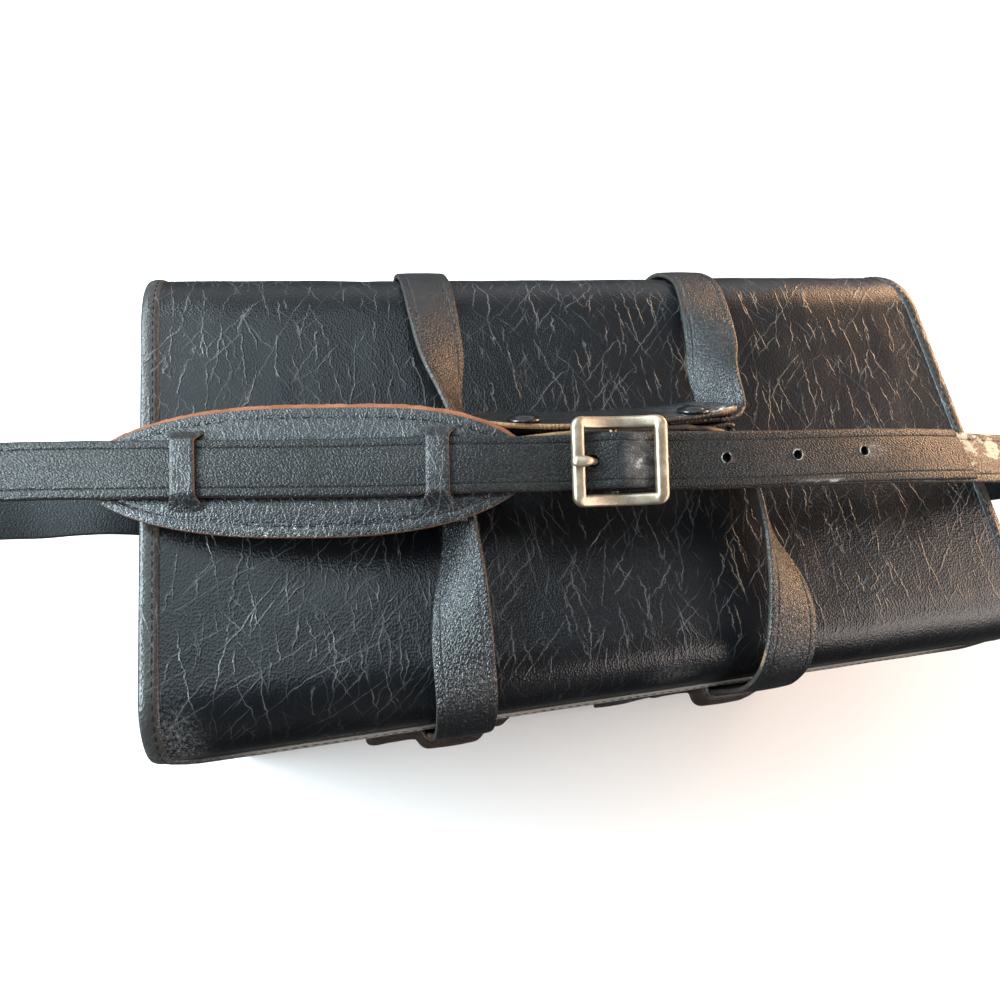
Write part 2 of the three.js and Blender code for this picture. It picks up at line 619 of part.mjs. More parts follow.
function buckleFrame() {
  const [hx, hy] = [(BUCKLE_LENGTH - BUCKLE_BAR) / 2, (BUCKLE_WIDTH - BUCKLE_BAR) / 2];
  const corners = [[hx, -hy], [hx, hy], [-hx, hy], [-hx, -hy]];
  const stations = [];
  corners.forEach(([x, y], k) => {
    const [nextX, nextY] = corners[(k + 1) % 4];
    const level = (px) => sideBarZ - frameSag * (1 - (px / hx) ** 2);
    stations.push({ place: V(x, y, level(x)), width: V(Math.sign(x), Math.sign(y), 0), normal: V(0, 0, 1) });
    const along = V(nextX - x, nextY - y, 0).normalize();
    for (const share of [0.25, 0.5, 0.75]) {
      const px = x + (nextX - x) * share;
      const py = y + (nextY - y) * share;
      stations.push({ place: V(px, py, level(px)), width: V(along.y, -along.x, 0), normal: V(0, 0, 1) });
    }
  });
  const edge = 0.7;
  const [w, t] = [BUCKLE_BAR / 2, BUCKLE_THICKNESS / 2];
  const outline = [[-w, -t], [w, -t], [w, t - edge], [w - edge, t], [-w + edge, t], [-w, t - edge]];
  const ring = outline.map(([x, y]) => new THREE.Vector2(x, y));
  const frame = sweepGeometry(ringsAlong(stations, ring), ring, true);
  const [lugLength, lugWidth] = [3.4, 2.4];
  const lugY = STRAP_WIDTH / 2 + 1 + lugWidth / 2;
  const bar = new THREE.CylinderGeometry(centreBarRadius, centreBarRadius, 2 * lugY, 10);
  bar.translate(0, 0, centreBarZ);
  const lugTop = sideBarZ - frameSag;
  const lugs = [-1, 1].map((side) => {
    const lug = new THREE.BoxGeometry(lugLength, lugWidth, lugTop - centreBarZ + 2 * centreBarRadius);
    return lug.translate(0, side * lugY, (lugTop + centreBarZ) / 2);
  });
  return join(frame, [bar, ...lugs]).applyMatrix4(buckleMatrix);
}
addPiece("buckle_frame", buckleFrame(), "buckle");

// The prong hooks under the centre bar, comes up through the strap and rests on the left bar
function buckleProng() {
  const radius = 0.9;
  const hook = centreBarRadius + radius + GAP;
  const barTop = sideBarZ + BUCKLE_THICKNESS / 2 + radius + GAP;
  const leftBar = -BUCKLE_LENGTH / 2;
  const line = [];
  for (let k = 0; k <= 6; k++) {
    const angle = Math.PI * (0.05 - (k / 6) * 0.95);
    line.push(V(hook * Math.cos(angle), 0, centreBarZ + hook * Math.sin(angle)));
  }
  line.push(V(-4.6, 0, -1.6), V(-8.2, 0, 1.6), V(leftBar + BUCKLE_BAR + 1.2, 0, barTop - 0.2));
  line.push(V(leftBar + BUCKLE_BAR / 2, 0, barTop), V(leftBar - 0.4, 0, barTop - 0.3));
  const stations = line.map((place, k) => {
    const before = line[Math.max(k - 1, 0)];
    const after = line[Math.min(k + 1, line.length - 1)];
    const tangent = after.clone().sub(before).normalize();
    return { place, width: V(0, 1, 0), normal: tangent.clone().cross(V(0, 1, 0)).negate() };
  });
  const outline = circle2(radius, 8);
  return sweepGeometry(ringsAlong(stations, outline), outline).applyMatrix4(buckleMatrix);
}
addPiece("buckle_prong", buckleProng(), "buckle");

// The short half: folded round the centre bar, under the long half, and out in a bight to the right end

function shortStrap() {
  const turn = centreBarRadius + GAP + STRAP_THICKNESS / 2;
  const lap = [24, 12, 2].map((x) => ({ place: V(x, 0, centreBarZ - turn), normal: V(0, 0, -1) }));
  for (let k = 1; k < 6; k++) {
    const angle = -Math.PI / 2 - (Math.PI * k) / 6;
    const out = V(Math.cos(angle), 0, Math.sin(angle));
    lap.push({ place: V(0, 0, centreBarZ).addScaledVector(out, turn), normal: out });
  }
  const stations = lap.map(({ place, normal }) => ({
    place: place.applyMatrix4(buckleMatrix),
    normal: normal.transformDirection(buckleMatrix),
    width: buckleAxisY.clone().negate(),
  }));
  for (const x of [-6, 2, 10, 22, 36, 55, 78, 100]) {
    const { place, width, normal } = strapAtX(x);
    const under = place.clone().addScaledVector(normal, -STRAP_THICKNESS - GAP);
    stations.push({ place: under, width, normal });
  }
  const tail = route([
    { x: 112, y: -27.6, h: 30, n: [0.1, -0.08, 1] },
    { x: 139, y: -28.8, h: 27.5, n: [0.2, 0, 1] },
    { x: 168, y: -28, h: 20, n: [0.35, 0, 0.9] },
    { x: 197, y: -25, h: 4, n: [0.75, 0, 0.7] },
    { x: 212, y: -20, h: -19, n: [1, 0, 0] },
    { x: 206, y: -15, h: -42, n: [0.85, 0, -0.5] },
    { x: 190, y: -11, h: -55, n: [0.45, 0, -0.9] },
    { x: 174, y: -8.5, h: -62, n: [0.55, 0, -0.8] },
    { x: sewnX, y: -7.5, h: -76, n: [1, 0, 0], steps: 1 },
    { x: sewnX, y: -7.5, h: -100, n: [1, 0, 0] },
  ], 3).stations;
  const slotSize = [12, 4.4, 14];
  const slot = new THREE.BoxGeometry(...slotSize).translate(-1.6, 0, centreBarZ).applyMatrix4(buckleMatrix);
  return cut(strapGeometry([...stations, ...tail]), [slot]);
}
addPiece("shoulder_strap_short", shortStrap(), "strap");

// The pad: a lens under the long strap, with two bridges that the strap runs through

const padStart = -188;
const padEnd = -37.5;
const bridgesX = [-149.2, -69.8];
const bridgeWidth = 7.5;
const bridgeThickness = 1.6;

function padPoint(share, across, depth) {
  const station = strapAtX(padStart + (padEnd - padStart) * (share + 1) / 2);
  const reach = (PAD_WIDTH / 2) * Math.max(1 - Math.abs(share) ** 2.6, 0.004) ** 0.62;
  const curl = 1.4 * across ** 2 * (reach / PAD_WIDTH);
  const drop = STRAP_THICKNESS / 2 + 2 * GAP + curl + depth;
  return station.place.clone().addScaledVector(station.width, across * reach).addScaledVector(station.normal, -drop);
}

function shoulderPad() {
  const rows = [-1, -0.985, -0.95, -0.89, -0.8, -0.68, -0.5, -0.3, -0.1];
  const shares = [...rows, ...rows.slice().reverse().map((r) => -r)];
  const columns = [-1, -0.6, -0.2, 0.2, 0.6, 1];
  const grid = (depth) => shares.map((s) => columns.map((a) => padPoint(s, a, depth)));
  const sheet = sheetGeometry(grid(0), grid(PAD_THICKNESS));
  const bridges = bridgesX.map((x) => {
    const { place, width, normal, tangent } = strapAtX(x);
    const [out, flat, clear] = [STRAP_WIDTH / 2 + 4.5, STRAP_WIDTH / 2 + 0.8, STRAP_THICKNESS / 2 + GAP + 0.9];
    const low = -STRAP_THICKNESS / 2 - GAP - 0.8;
    const line = [[-out, low], [-flat - 1.2, low + 0.6], [-flat + 1, clear], [0, clear + 0.5]];
    const whole = [...line, ...line.slice(0, -1).reverse().map(([a, n]) => [-a, n])];
    const stations = whole.map(([a, n]) => ({
      place: place.clone().addScaledVector(width, a).addScaledVector(normal, n), width: tangent, normal,
    }));
    const outline = box2(bridgeWidth, bridgeThickness);
    return sweepGeometry(ringsAlong(stations, outline), outline);
  });
  return join(sheet, bridges);
}
addPiece("shoulder_pad", shoulderPad(), "pad");

// The patches that the shoulder strap's ends are sewn to

const [tabHalfWidth, tabHalfHeight] = [14, 16];
for (const [name, side, row] of [["left", -1, { y: 3, h: -70 }], ["right", 1, { y: -7.5, h: -89 }]]) {
  const patch = plate(0, tabThickness, -tabHalfWidth, tabHalfWidth, -tabHalfHeight, tabHalfHeight);
  const tab = addPiece(`strap_tab_${name}`, patch, "strap");
  tab.position.set(side > 0 ? endX + GAP : -endX - GAP - tabThickness, row.y, HEIGHT + row.h);
}

export default object;
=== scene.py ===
import itertools
import math

import bpy
import numpy as np
from mathutils import Matrix


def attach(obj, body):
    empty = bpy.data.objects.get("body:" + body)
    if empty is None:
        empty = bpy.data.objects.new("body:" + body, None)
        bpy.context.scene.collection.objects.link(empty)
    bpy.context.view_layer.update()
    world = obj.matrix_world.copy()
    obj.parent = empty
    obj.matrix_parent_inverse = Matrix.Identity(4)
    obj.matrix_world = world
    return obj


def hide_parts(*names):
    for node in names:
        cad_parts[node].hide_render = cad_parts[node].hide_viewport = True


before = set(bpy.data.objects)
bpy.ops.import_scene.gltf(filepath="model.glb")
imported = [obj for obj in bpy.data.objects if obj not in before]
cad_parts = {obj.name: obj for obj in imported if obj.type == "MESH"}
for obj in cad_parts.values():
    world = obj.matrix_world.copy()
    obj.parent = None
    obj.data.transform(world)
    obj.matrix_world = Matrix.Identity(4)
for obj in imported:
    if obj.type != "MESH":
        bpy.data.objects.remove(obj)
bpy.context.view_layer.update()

# Shapes are worked out in millimetres and written to meshes in metres
MM = 0.001

# The case, as in the part's source
LENGTH = 327.4
DEPTH = 182
HEIGHT = 190
WALL = 2.4
GAP = 0.3
BASE_THICKNESS = 3
FRONT_ROLL = 19
BACK_ROLL = 33
LIP_DROP = 32.2
LIP_FLARE = 1.4
FLARE_HEIGHT = 7.8
LIP_CORNER = 12
LID_SAG = 3
END_INSET = 2.5
STRAP_WIDTH = 20
STRAP_THICKNESS = 2.2
HANDLE_CENTRE_X = -6
GRIP_LENGTH = 99
GRIP_LEAN = math.radians(55)
GRIP_BOW = 2
GRIP_WALL = 1.8
SNAP_RADIUS = 5.9
BUCKLE_LENGTH = 32.4
BUCKLE_WIDTH = 30
BUCKLE_BAR = 4.2
BUCKLE_THICKNESS = 3
PAD_THICKNESS = 2.6
PAD_WIDTH = 45

half_length = LENGTH / 2
front_y = -DEPTH / 2
back_y = DEPTH / 2
half_width = STRAP_WIDTH / 2
half_thick = STRAP_THICKNESS / 2
UP = (0, 0, 1)


# Small helpers

NOISE_CELLS = 32


def unit(v):
    v = np.asarray(v, float)
    return v / np.linalg.norm(v, axis=-1, keepdims=True)


def smooth(x, low, high):
    """How far x is on its way from low to high, eased at both ends."""
    t = np.clip((np.asarray(x, float) - low) / (high - low), 0, 1)
    return t * t * (3 - 2 * t)


def rub_and_sheen_spot(x, y, middle, stretch, outer, inner, strength):
    """A soft spot on a sheet: full strength within inner of its middle, none beyond outer."""
    way = np.hypot((x - middle[0]) * stretch[0], (y - middle[1]) * stretch[1])
    return smooth(way, outer, inner) * strength


def noise(points, size, seed):
    """Smooth noise from -1 to 1, with features about size across."""
    table = np.random.default_rng(seed).uniform(-1, 1, (NOISE_CELLS,) * 3)
    p = np.asarray(points, float) / size
    cell = np.floor(p).astype(int)
    f = p - cell
    f = f * f * (3 - 2 * f)
    total = np.zeros(p.shape[:-1])
    for corner in itertools.product((0, 1), repeat=3):
        c = np.array(corner)
        share = np.prod(np.where(c, f, 1 - f), axis=-1)
        i, j, k = np.moveaxis((cell + c) % NOISE_CELLS, -1, 0)
        total += share * table[i, j, k]
    return total


def stack(*parts):
    return np.stack(np.broadcast_arrays(*[np.asarray(p, float) for p in parts]), axis=-1)


def distances(line):
    """How far along a line of points each of them is."""
    return np.concatenate([[0], np.cumsum(np.linalg.norm(np.diff(line, axis=0), axis=1))])


def read_at(spots, far, rows):
    """Rows that belong to the distances far, read at other distances."""
    return np.stack([np.interp(spots, far, rows[:, k]) for k in range(3)], -1)


def full_turn(count):
    return np.arange(count) * 2 * np.pi / count


# Meshes from grids

SHARP_ANGLE = math.radians(50)


def grid_faces(rows, columns, start=0, around=False, closed=False):
    """Faces of a grid of points. around joins its last column to its first, and closed its last row to
    its first."""
    r = np.arange(rows if closed else rows - 1)[:, None]
    c = np.arange(columns if around else columns - 1)
    n = (c + 1) % columns
    below = (r + 1) % rows * columns
    corners = [r * columns + c, r * columns + n, below + n, below + c]
    return (start + np.stack(corners, -1)).reshape(-1, 4).tolist()


def tube_faces(rows, columns, start=0):
    """Faces of a tube of rings, with its two ends."""
    first = list(range(start, start + columns))
    last = [k + (rows - 1) * columns for k in first]
    return grid_faces(rows, columns, start, around=True) + [first[::-1], last]


def new_mesh(name, points, faces):
    """A mesh that faces outwards."""
    points = np.asarray(points, float)
    mesh = bpy.data.meshes.new(name)
    mesh.from_pydata((points * MM).tolist(), [], faces)
    mesh.calc_loop_triangles()
    corners = np.array([t.vertices for t in mesh.loop_triangles])
    a, b, c = (points[corners[:, k]] for k in range(3))
    if np.einsum("ij,ij->i", a, np.cross(b, c)).sum() < 0:
        mesh.flip_normals()
    return mesh


def add_object(name, data):
    thing = bpy.data.objects.new(name, data)
    bpy.context.scene.collection.objects.link(thing)
    return thing


def add_piece(name, points, faces, material, slot, replaces=(), flat=None, marks=None, wear_and_sheen=None):
    """A smooth-shaded mesh in the frame. flat is where each point was before bending, in millimetres.
    marks says how far each point is a cut edge, a crease line or the flesh side; on the lid's binding the
    third is its painted sheen."""
    points = np.asarray(points, float).reshape(-1, 3)
    mesh = new_mesh(name, points, faces)
    flat = points if flat is None else flat
    marks = np.zeros_like(points) if marks is None else marks
    wear_and_sheen = np.zeros(len(points)) if wear_and_sheen is None else wear_and_sheen
    for label, values in (("flat", flat), ("marks", marks)):
        data = mesh.attributes.new(label, "FLOAT_VECTOR", "POINT").data
        data.foreach_set("vector", np.asarray(values, np.float32).ravel())
    # The wear values are real wear, and on the long half's hump by the buckle they are also a painted sheen.
    data = mesh.attributes.new("wear_and_sheen", "FLOAT", "POINT").data
    data.foreach_set("value", np.asarray(wear_and_sheen, np.float32).ravel())
    mesh.polygons.foreach_set("use_smooth", [True] * len(mesh.polygons))
    mesh.materials.append(material)
    piece = add_object(name, mesh)
    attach(piece, "root")
    if replaces:
        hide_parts(*replaces)
    return piece


def add_shell(name, outer, inner, *args, flat, marks=None, wear_and_sheen=None, **more):
    """A sheet between two grids of points, closed round its border."""
    rows, columns = outer.shape[:2]
    count = rows * columns
    index = np.arange(count).reshape(rows, columns)
    border = np.concatenate([index[0], index[1:, -1], index[-1, -2::-1], index[-2:0:-1, 0]]).tolist()
    faces = grid_faces(rows, columns)
    faces += [f[::-1] for f in grid_faces(rows, columns, count)]
    faces += [[b, a, a + count, b + count] for a, b in zip(border, border[1:] + border[:1])]
    points, flat = (np.stack(pair).reshape(-1, 3) for pair in ((outer, inner), flat))
    if marks is not None:
        marks = np.stack(marks)
    if wear_and_sheen is not None:
        wear_and_sheen = np.stack([wear_and_sheen, 0 * wear_and_sheen])
    return add_piece(name, points, faces, *args, flat=flat, marks=marks, wear_and_sheen=wear_and_sheen, **more)


def cut_holes(piece, cutters):
    """Takes the cutters out of the piece and out of the scene."""
    for cutter in cutters:
        step = piece.modifiers.new("cut", "BOOLEAN")
        step.operation = "DIFFERENCE"
        step.solver = "EXACT"
        step.object = cutter
    result = bpy.data.meshes.new_from_object(piece.evaluated_get(bpy.context.evaluated_depsgraph_get()))
    piece.modifiers.clear()
    result.set_sharp_from_angle(angle=SHARP_ANGLE)
    piece.data = result
    for cutter in cutters:
        bpy.data.objects.remove(cutter)


def add_cutter(points, faces):
    return add_object("cutter", new_mesh("cutter", points, faces))


# Routes: a smooth line through rows, with the way that a strap lies on it

ROUTE_STEPS = 24


class Route:
    """Points at a distance along, across and out of a strap's middle line."""

    def __init__(self, places, normals, soften=4.0):
        p = np.asarray(places, float)
        n = unit(normals)
        p = np.vstack([2 * p[0] - p[1], p, 2 * p[-1] - p[-2]])
        knots = np.sqrt(np.linalg.norm(np.diff(p, axis=0), axis=1))
        spots, leans = [], []
        for k in range(len(n) - 1):
            p0, p1, p2, p3 = p[k:k + 4]
            d0, d1, d2 = knots[k:k + 3]
            m1 = ((p1 - p0) / d0 - (p2 - p0) / (d0 + d1) + (p2 - p1) / d1) * d1
            m2 = ((p2 - p1) / d1 - (p3 - p1) / (d1 + d2) + (p3 - p2) / d2) * d1
            last = ROUTE_STEPS + 1 if k == len(n) - 2 else ROUTE_STEPS
            t = np.arange(last)[:, None] / ROUTE_STEPS
            spots.append(p1 + m1 * t + (-3 * p1 + 3 * p2 - 2 * m1 - m2) * t ** 2
                         + (2 * p1 - 2 * p2 + m1 + m2) * t ** 3)
            leans.append(n[k] * (1 - t) + n[k + 1] * t)
        spots = np.concatenate(spots)
        far = distances(spots)
        self.length = far[-1]
        self.along = np.linspace(0, self.length, max(int(self.length * 2), 8))
        self.place = read_at(self.along, far, spots)
        lean = self.soften(read_at(self.along, far, np.concatenate(leans)), soften)
        tangent = unit(np.gradient(self.place, axis=0))
        tangent = unit(self.soften(tangent, soften / 4))
        self.width = unit(np.cross(tangent, lean))
        self.normal = np.cross(self.width, tangent)

    def soften(self, values, spread):
        step = self.length / len(self.along)
        reach = max(int(3 * spread / step), 1)
        weight = np.exp(-0.5 * (np.arange(-reach, reach + 1) * step / spread) ** 2)
        padded = np.pad(values, ((reach, reach), (0, 0)), "edge")
        return np.stack([np.convolve(padded[:, k], weight / weight.sum(), "valid") for k in range(3)], -1)

    def look(self, field, a):
        return read_at(a, self.along, field)

    def at(self, a, v, n):
        a, v, n = np.broadcast_arrays(*[np.asarray(x, float) for x in (a, v, n)])
        return (self.look(self.place, a) + self.look(self.width, a) * v[..., None]
                + self.look(self.normal, a) * n[..., None])


STRAP_CROWN = 0.3
# The pressed line near a strap's edge: rows of place across, depth and mark
CREASE = ((-0.4, 0, 0), (-0.16, 0.5, 0.5), (0, 1, 1), (0.16, 0.5, 0.5), (0.4, 0, 0))


def strap_ring(width, thickness, crease_in=3.1, crease_depth=0.36):
    """A strap's section as rows of across, out, cut edge, crease and flesh side."""
    half, t = width / 2, thickness / 2
    crease = half - crease_in

    def face(v):
        return t - STRAP_CROWN / 2 + STRAP_CROWN * (1 - (v / half) ** 2)

    right = [(v, face(v), 0, 0, 0) for v in np.linspace(0, crease - 0.8, 5)]
    for dv, dip, mark in CREASE:
        right.append((crease + dv, face(crease + dv) - dip * crease_depth, 0, mark, 0))
    right += [(half - 1.9, face(half - 1.9), 0, 0, 0), (half - 0.75, face(half) + 0.02, 0, 0, 0)]
    right += [(half - 0.32, t - 0.3, 0.15, 0, 0), (half - 0.08, t - 0.62, 0.9, 0, 0), (half, 0.1, 1, 0, 0.2)]
    right += [(half - 0.06, -t + 0.5, 1, 0, 0.6), (half - 0.3, -t + 0.1, 0.4, 0, 1), (half - 1, -t, 0, 0, 1)]
    right += [(half * 0.5, -t, 0, 0, 1)]
    left = [(-v, n, e, c, f) for v, n, e, c, f in reversed(right[1:])]
    return np.array(right + [(0, -t, 0, 0, 1)] + left)


# The length of a strap's free end that is trimmed, and the share of its cut edges that shows tan
TIP_LENGTH = 16
BARE_SHARE = 0.3


def add_strap(name, route, ring, material, seed, replaces, step=1.6, tip=None, wear_and_sheen=None, rise=None,
              narrow=None):
    """A strap along a route. tip(v) gives how far its free end reaches beyond or short of the route's end,
    rise(a) how far it stands off the route and narrow(a) its share of the width."""
    along = np.linspace(0, route.length, int(route.length / step) + 2)
    a, v, n = np.broadcast_arrays(along[:, None], ring[:, 0], ring[:, 1])
    if tip:
        a = a + smooth(a, route.length - TIP_LENGTH, route.length) * tip(v)
    rest = stack(a + 1000 * seed, v, n)
    if rise:
        n = n + rise(a)
    uneven = noise(stack(a, v * 0.6, 0), 22, seed) * 0.18 + noise(stack(a, v, 0), 5, seed + 40) * 0.05
    wander = noise(stack(a, np.sign(v) * 50, 0), 9, seed + 80) * 0.16 * (np.abs(v) / ring[:, 0].max()) ** 4
    share = narrow(a) if narrow else 1
    points = route.at(a, (v + wander) * share, n + uneven * (ring[:, 1] > 0))
    marks = np.repeat(ring[None, :, 2:5], len(along), 0)
    patches = noise(stack(a, np.sign(v) * 30, 0), 17, seed + 120) / 2 + 0.5
    marks[..., 0] *= 0.55 + 0.45 * smooth(patches, 1 - BARE_SHARE, 1.15 - BARE_SHARE)
    marks[[0, -1], :, 0] = 0.6
    worn = wear_and_sheen(a, v, n) if wear_and_sheen else None
    return add_piece(name, points, tube_faces(len(along), len(ring)), material, "strap_leather", replaces,
                     flat=rest, marks=marks, wear_and_sheen=worn)


# A stitch: rows of place along, thickness and height. It takes up a share of the pitch
STITCH = np.array([(0, 0.35, -0.9), (0.14, 0.8, -0.25), (0.5, 1, 0.1), (0.86, 0.8, -0.25), (1, 0.35, -0.9)])
STITCH_SHARE = 0.66
STITCH_SIDES = 6


def add_thread(name, lines, slot, pitch, radius=0.24, lift=0.0):
    """Stitches along lines of points and normals: short rounded bars that dip at both ends."""
    turn = full_turn(STITCH_SIDES)[:, None]
    points, faces = [], []
    for line, normals in lines:
        far = distances(line)
        count = max(int(far[-1] / pitch), 1)
        for k in range(count):
            spots = (k + 0.5 + (STITCH[:, 0] - 0.5) * STITCH_SHARE) * far[-1] / count
            place = read_at(spots, far, line)
            up = unit(read_at(spots, far, normals))
            side = unit(np.cross(unit(np.gradient(place, axis=0)), up))
            middle = place + up * (lift + STITCH[:, 2:] * radius)
            ring = side[:, None] * np.cos(turn) + up[:, None] * np.sin(turn)
            faces += tube_faces(len(STITCH), STITCH_SIDES, len(points) * len(STITCH) * STITCH_SIDES)
            points.append(middle[:, None] + radius * STITCH[:, 1, None, None] * ring)
    return add_piece(name, np.array(points), faces, thread_paint, slot)


# Materials

def add_node(tree, kind, inputs, **settings):
    """A new shader node. inputs gives sockets or fields, which are linked, and plain values."""
    node = tree.nodes.new("ShaderNode" + kind)
    for label, value in settings.items():
        setattr(node, label, value)
    for key, value in inputs.items():
        value = getattr(value, "socket", value)
        if isinstance(value, bpy.types.NodeSocket):
            tree.links.new(value, node.inputs[key])
        else:
            node.inputs[key].default_value = value
    return node


class Field:
    """A number that varies over a surface, from a node's socket. It adds and multiplies as numbers do."""

    def __init__(self, socket):
        self.socket = socket
        self.tree = socket.id_data

    def math(self, operation, *others):
        inputs = dict(enumerate((self, *others)))
        return Field(add_node(self.tree, "Math", inputs, operation=operation).outputs[0])

    def __add__(self, other):
        return self.math("ADD", other)

    def __mul__(self, other):
        return self.math("MULTIPLY", other)

    def most(self, other):
        return self.math("MAXIMUM", other)

    def span(self, low, high, to_low=0.0, to_high=1.0):
        """This number's way from low to high, smoothed, as a number from to_low to to_high."""
        inputs = dict(enumerate((self, low, high, to_low, to_high)))
        return Field(add_node(self.tree, "MapRange", inputs, interpolation_type="SMOOTHSTEP").outputs[0])


def separate(tree, vector, axis):
    return Field(add_node(tree, "SeparateXYZ", {0: vector}).outputs[axis])


# Wrinkles: sizes of the slow and quick sway, the quick one's share, the patches' soft edge, and the banks'
# reach beside a line
SLOW_SWAY = (16, 26, 16)
QUICK_SWAY = (2.6, 4.5, 2.6)
QUICK_SHARE = 0.32
PATCH_EDGE = 0.13
BANK_REACH = 0.55


class Paint:
    """A material under construction, with a Principled shader."""

    def __init__(self, name):
        self.material = bpy.data.materials.new(name)
        self.material.use_nodes = True
        self.tree = self.material.node_tree
        self.shader = self.tree.nodes["Principled BSDF"]

    def attribute(self, name, output):
        return add_node(self.tree, "Attribute", {}, attribute_name=name).outputs[output]

    def flat(self, size=(1, 1, 1), turn=0.0, shift=(0, 0, 0)):
        """Where each point was before bending, in millimetres over size."""
        inputs = {"Vector": self.attribute("flat", "Vector"), "Rotation": (0, 0, turn), "Scale": size,
                  "Location": shift}
        return add_node(self.tree, "Mapping", inputs, vector_type="TEXTURE").outputs[0]

    def along(self, axis, turn=0.0, shift=(0, 0, 0)):
        return separate(self.tree, self.flat(turn=turn, shift=shift), axis)

    def mark(self, axis):
        return separate(self.tree, self.attribute("marks", "Vector"), axis)

    def wear_and_sheen(self):
        return Field(self.attribute("wear_and_sheen", "Fac"))

    def noise(self, size, detail=3.0, roughness=0.5, turn=0.0, shift=(0, 0, 0)):
        """Noise with features of a size in millimetres."""
        inputs = {"Vector": self.flat(size, turn, shift), "Scale": 1, "Detail": detail,
                  "Roughness": roughness}
        return Field(add_node(self.tree, "TexNoise", inputs).outputs[0])

    def cells(self, size, sway, amount, turn=0.0, feature="DISTANCE_TO_EDGE"):
        """Cells of a size in millimetres, pushed about by noise."""
        vector = self.flat(size, turn)
        inputs = {"Vector": vector, "Scale": 1 / sway, "Detail": 2}
        push = add_node(self.tree, "TexNoise", inputs).outputs["Color"]
        inputs = {0: push, 1: (amount,) * 3, 2: vector}
        moved = add_node(self.tree, "VectorMath", inputs, operation="MULTIPLY_ADD").outputs[0]
        inputs = {"Vector": moved, "Scale": 1}
        node = add_node(self.tree, "TexVoronoi", inputs, voronoi_dimensions="2D", feature=feature)
        return Field(node.outputs["Distance"])

    def wrinkles(self, rows):
        """Broken wavy lines, and the wider ridges under them. Each row has the lines' turn from the sheet's
        own way, spacing, sway, half width, patches' size, threshold of the patches, strength and shift, in
        millimetres."""
        lines = ridges = None
        for turn, spacing, sway, width, patch, threshold, strength, shift in rows:
            slow = self.noise(SLOW_SWAY, 0.0, turn=turn, shift=shift)
            quick = self.noise(QUICK_SWAY, 1.0, turn=turn, shift=shift)
            way = self.along(0, turn, shift) + slow * sway + quick * (sway * QUICK_SHARE)
            off = way.math("PINGPONG", spacing / 2)
            mask = self.noise((patch[0], patch[1], patch[0]), 1.0, turn=turn, shift=shift)
            mask = mask.span(threshold, threshold + PATCH_EDGE, 0, strength)
            line, bank = off.span(0, width, 1, 0) * mask, off.span(0, BANK_REACH, 1, 0) * mask
            lines = line if lines is None else lines.most(line)
            ridges = bank if ridges is None else ridges.most(bank)
        return lines, ridges

    def colour(self, base, *layers):
        """Colour layers over a base: each is a field and a colour."""
        current = (*base, 1)
        for field, colour in layers:
            inputs = {0: field, 6: current, 7: (*colour, 1)}
            current = add_node(self.tree, "Mix", inputs, data_type="RGBA", clamp_factor=True).outputs[2]
        self.tree.links.new(current, self.shader.inputs["Base Color"])

    def rough(self, field):
        self.tree.links.new(field.socket, self.shader.inputs["Roughness"])

    def bump(self, *fields):
        """Relief in millimetres."""
        inputs = {"Strength": 1, "Distance": MM, "Height": sum(fields[1:], fields[0])}
        self.tree.links.new(add_node(self.tree, "Bump", inputs).outputs[0], self.shader.inputs["Normal"])

    def gloss(self, **values):
        for label, value in values.items():
            self.shader.inputs[label.replace("_", " ")].default_value = value
        return self.material


CRACKLE = [
    (0.06, 5.5, 9, 0.21, (5, 18), 0.46, 1, (0, 0, 0)),
    (0.24, 8, 10, 0.2, (6, 20), 0.48, 0.85, (57, 13, 0)),
    (-0.2, 7, 9, 0.2, (6, 18), 0.48, 0.85, (-31, 71, 0)),
    (-0.78, 4, 6, 0.19, (9, 30), 0.51, 0.9, (40, 11, 0)),
]
FLAT_CRACKLE = [
    (-0.52, 6.5, 6, 0.18, (7, 26), 0.52, 0.8, (-90, 37, 0)),
    (0.62, 5.5, 7, 0.18, (7, 22), 0.52, 0.7, (-70, 23, 0)),
]
FAN_CRACKLE = [
    (-1.1, 6, 5, 0.18, (7, 34), 0.47, 0.9, (3, 9, 0)),
    (-0.9, 7.5, 5, 0.17, (6, 30), 0.49, 0.8, (21, -14, 0)),
]


def crackle_leather():
    """The panels' leather. Only the first lines have relief, and those of the fan lie by the lid's front
    corners."""
    p = Paint("crackle_leather")
    # Wrinkle lines painted lighter: partly worn colour, partly a painted highlight on the creases' ridges.
    lines, ridges = p.wrinkles(CRACKLE)
    more, _ = p.wrinkles(FLAT_CRACKLE)
    fan, _ = p.wrinkles(FAN_CRACKLE)
    corners = p.along(0).math("ABSOLUTE").span(50, 115) * p.along(1).span(90, 160, 1, 0)
    lines = lines.most(more).most(fan * corners)
    on_top = p.along(1).span(22, 46, 0.22, 1)
    strength = p.noise((11, 14, 11), 2.0).span(0.3, 0.66, 0.35, 1) * on_top
    lines, ridges = lines * strength, ridges * strength
    pores = p.cells((0.8, 1, 1), 2, 0.7, feature="F1")
    cloud = p.noise((45, 45, 45))
    scuff = p.noise((1.1, 1.5, 1), 5.0, 0.8).span(0.42, 0.72) * p.wear_and_sheen()
    # The third mark paints the binding lighter, a painted sheen that is strongest along the lip's front.
    p.colour((0.0036, 0.0042, 0.0054), (cloud.span(0.35, 0.7), (0.0062, 0.007, 0.0082)),
             (lines * 0.72, (0.16, 0.166, 0.165)), (p.mark(2), (0.27, 0.252, 0.23)),
             (scuff, (0.21, 0.215, 0.215)))
    p.rough((cloud * -0.14 + 0.36) + lines * 0.06 + scuff * 0.3)
    p.bump(ridges * 0.14, pores * 0.1, cloud * 0.3)
    return p.gloss(Specular_IOR_Level=0.32)


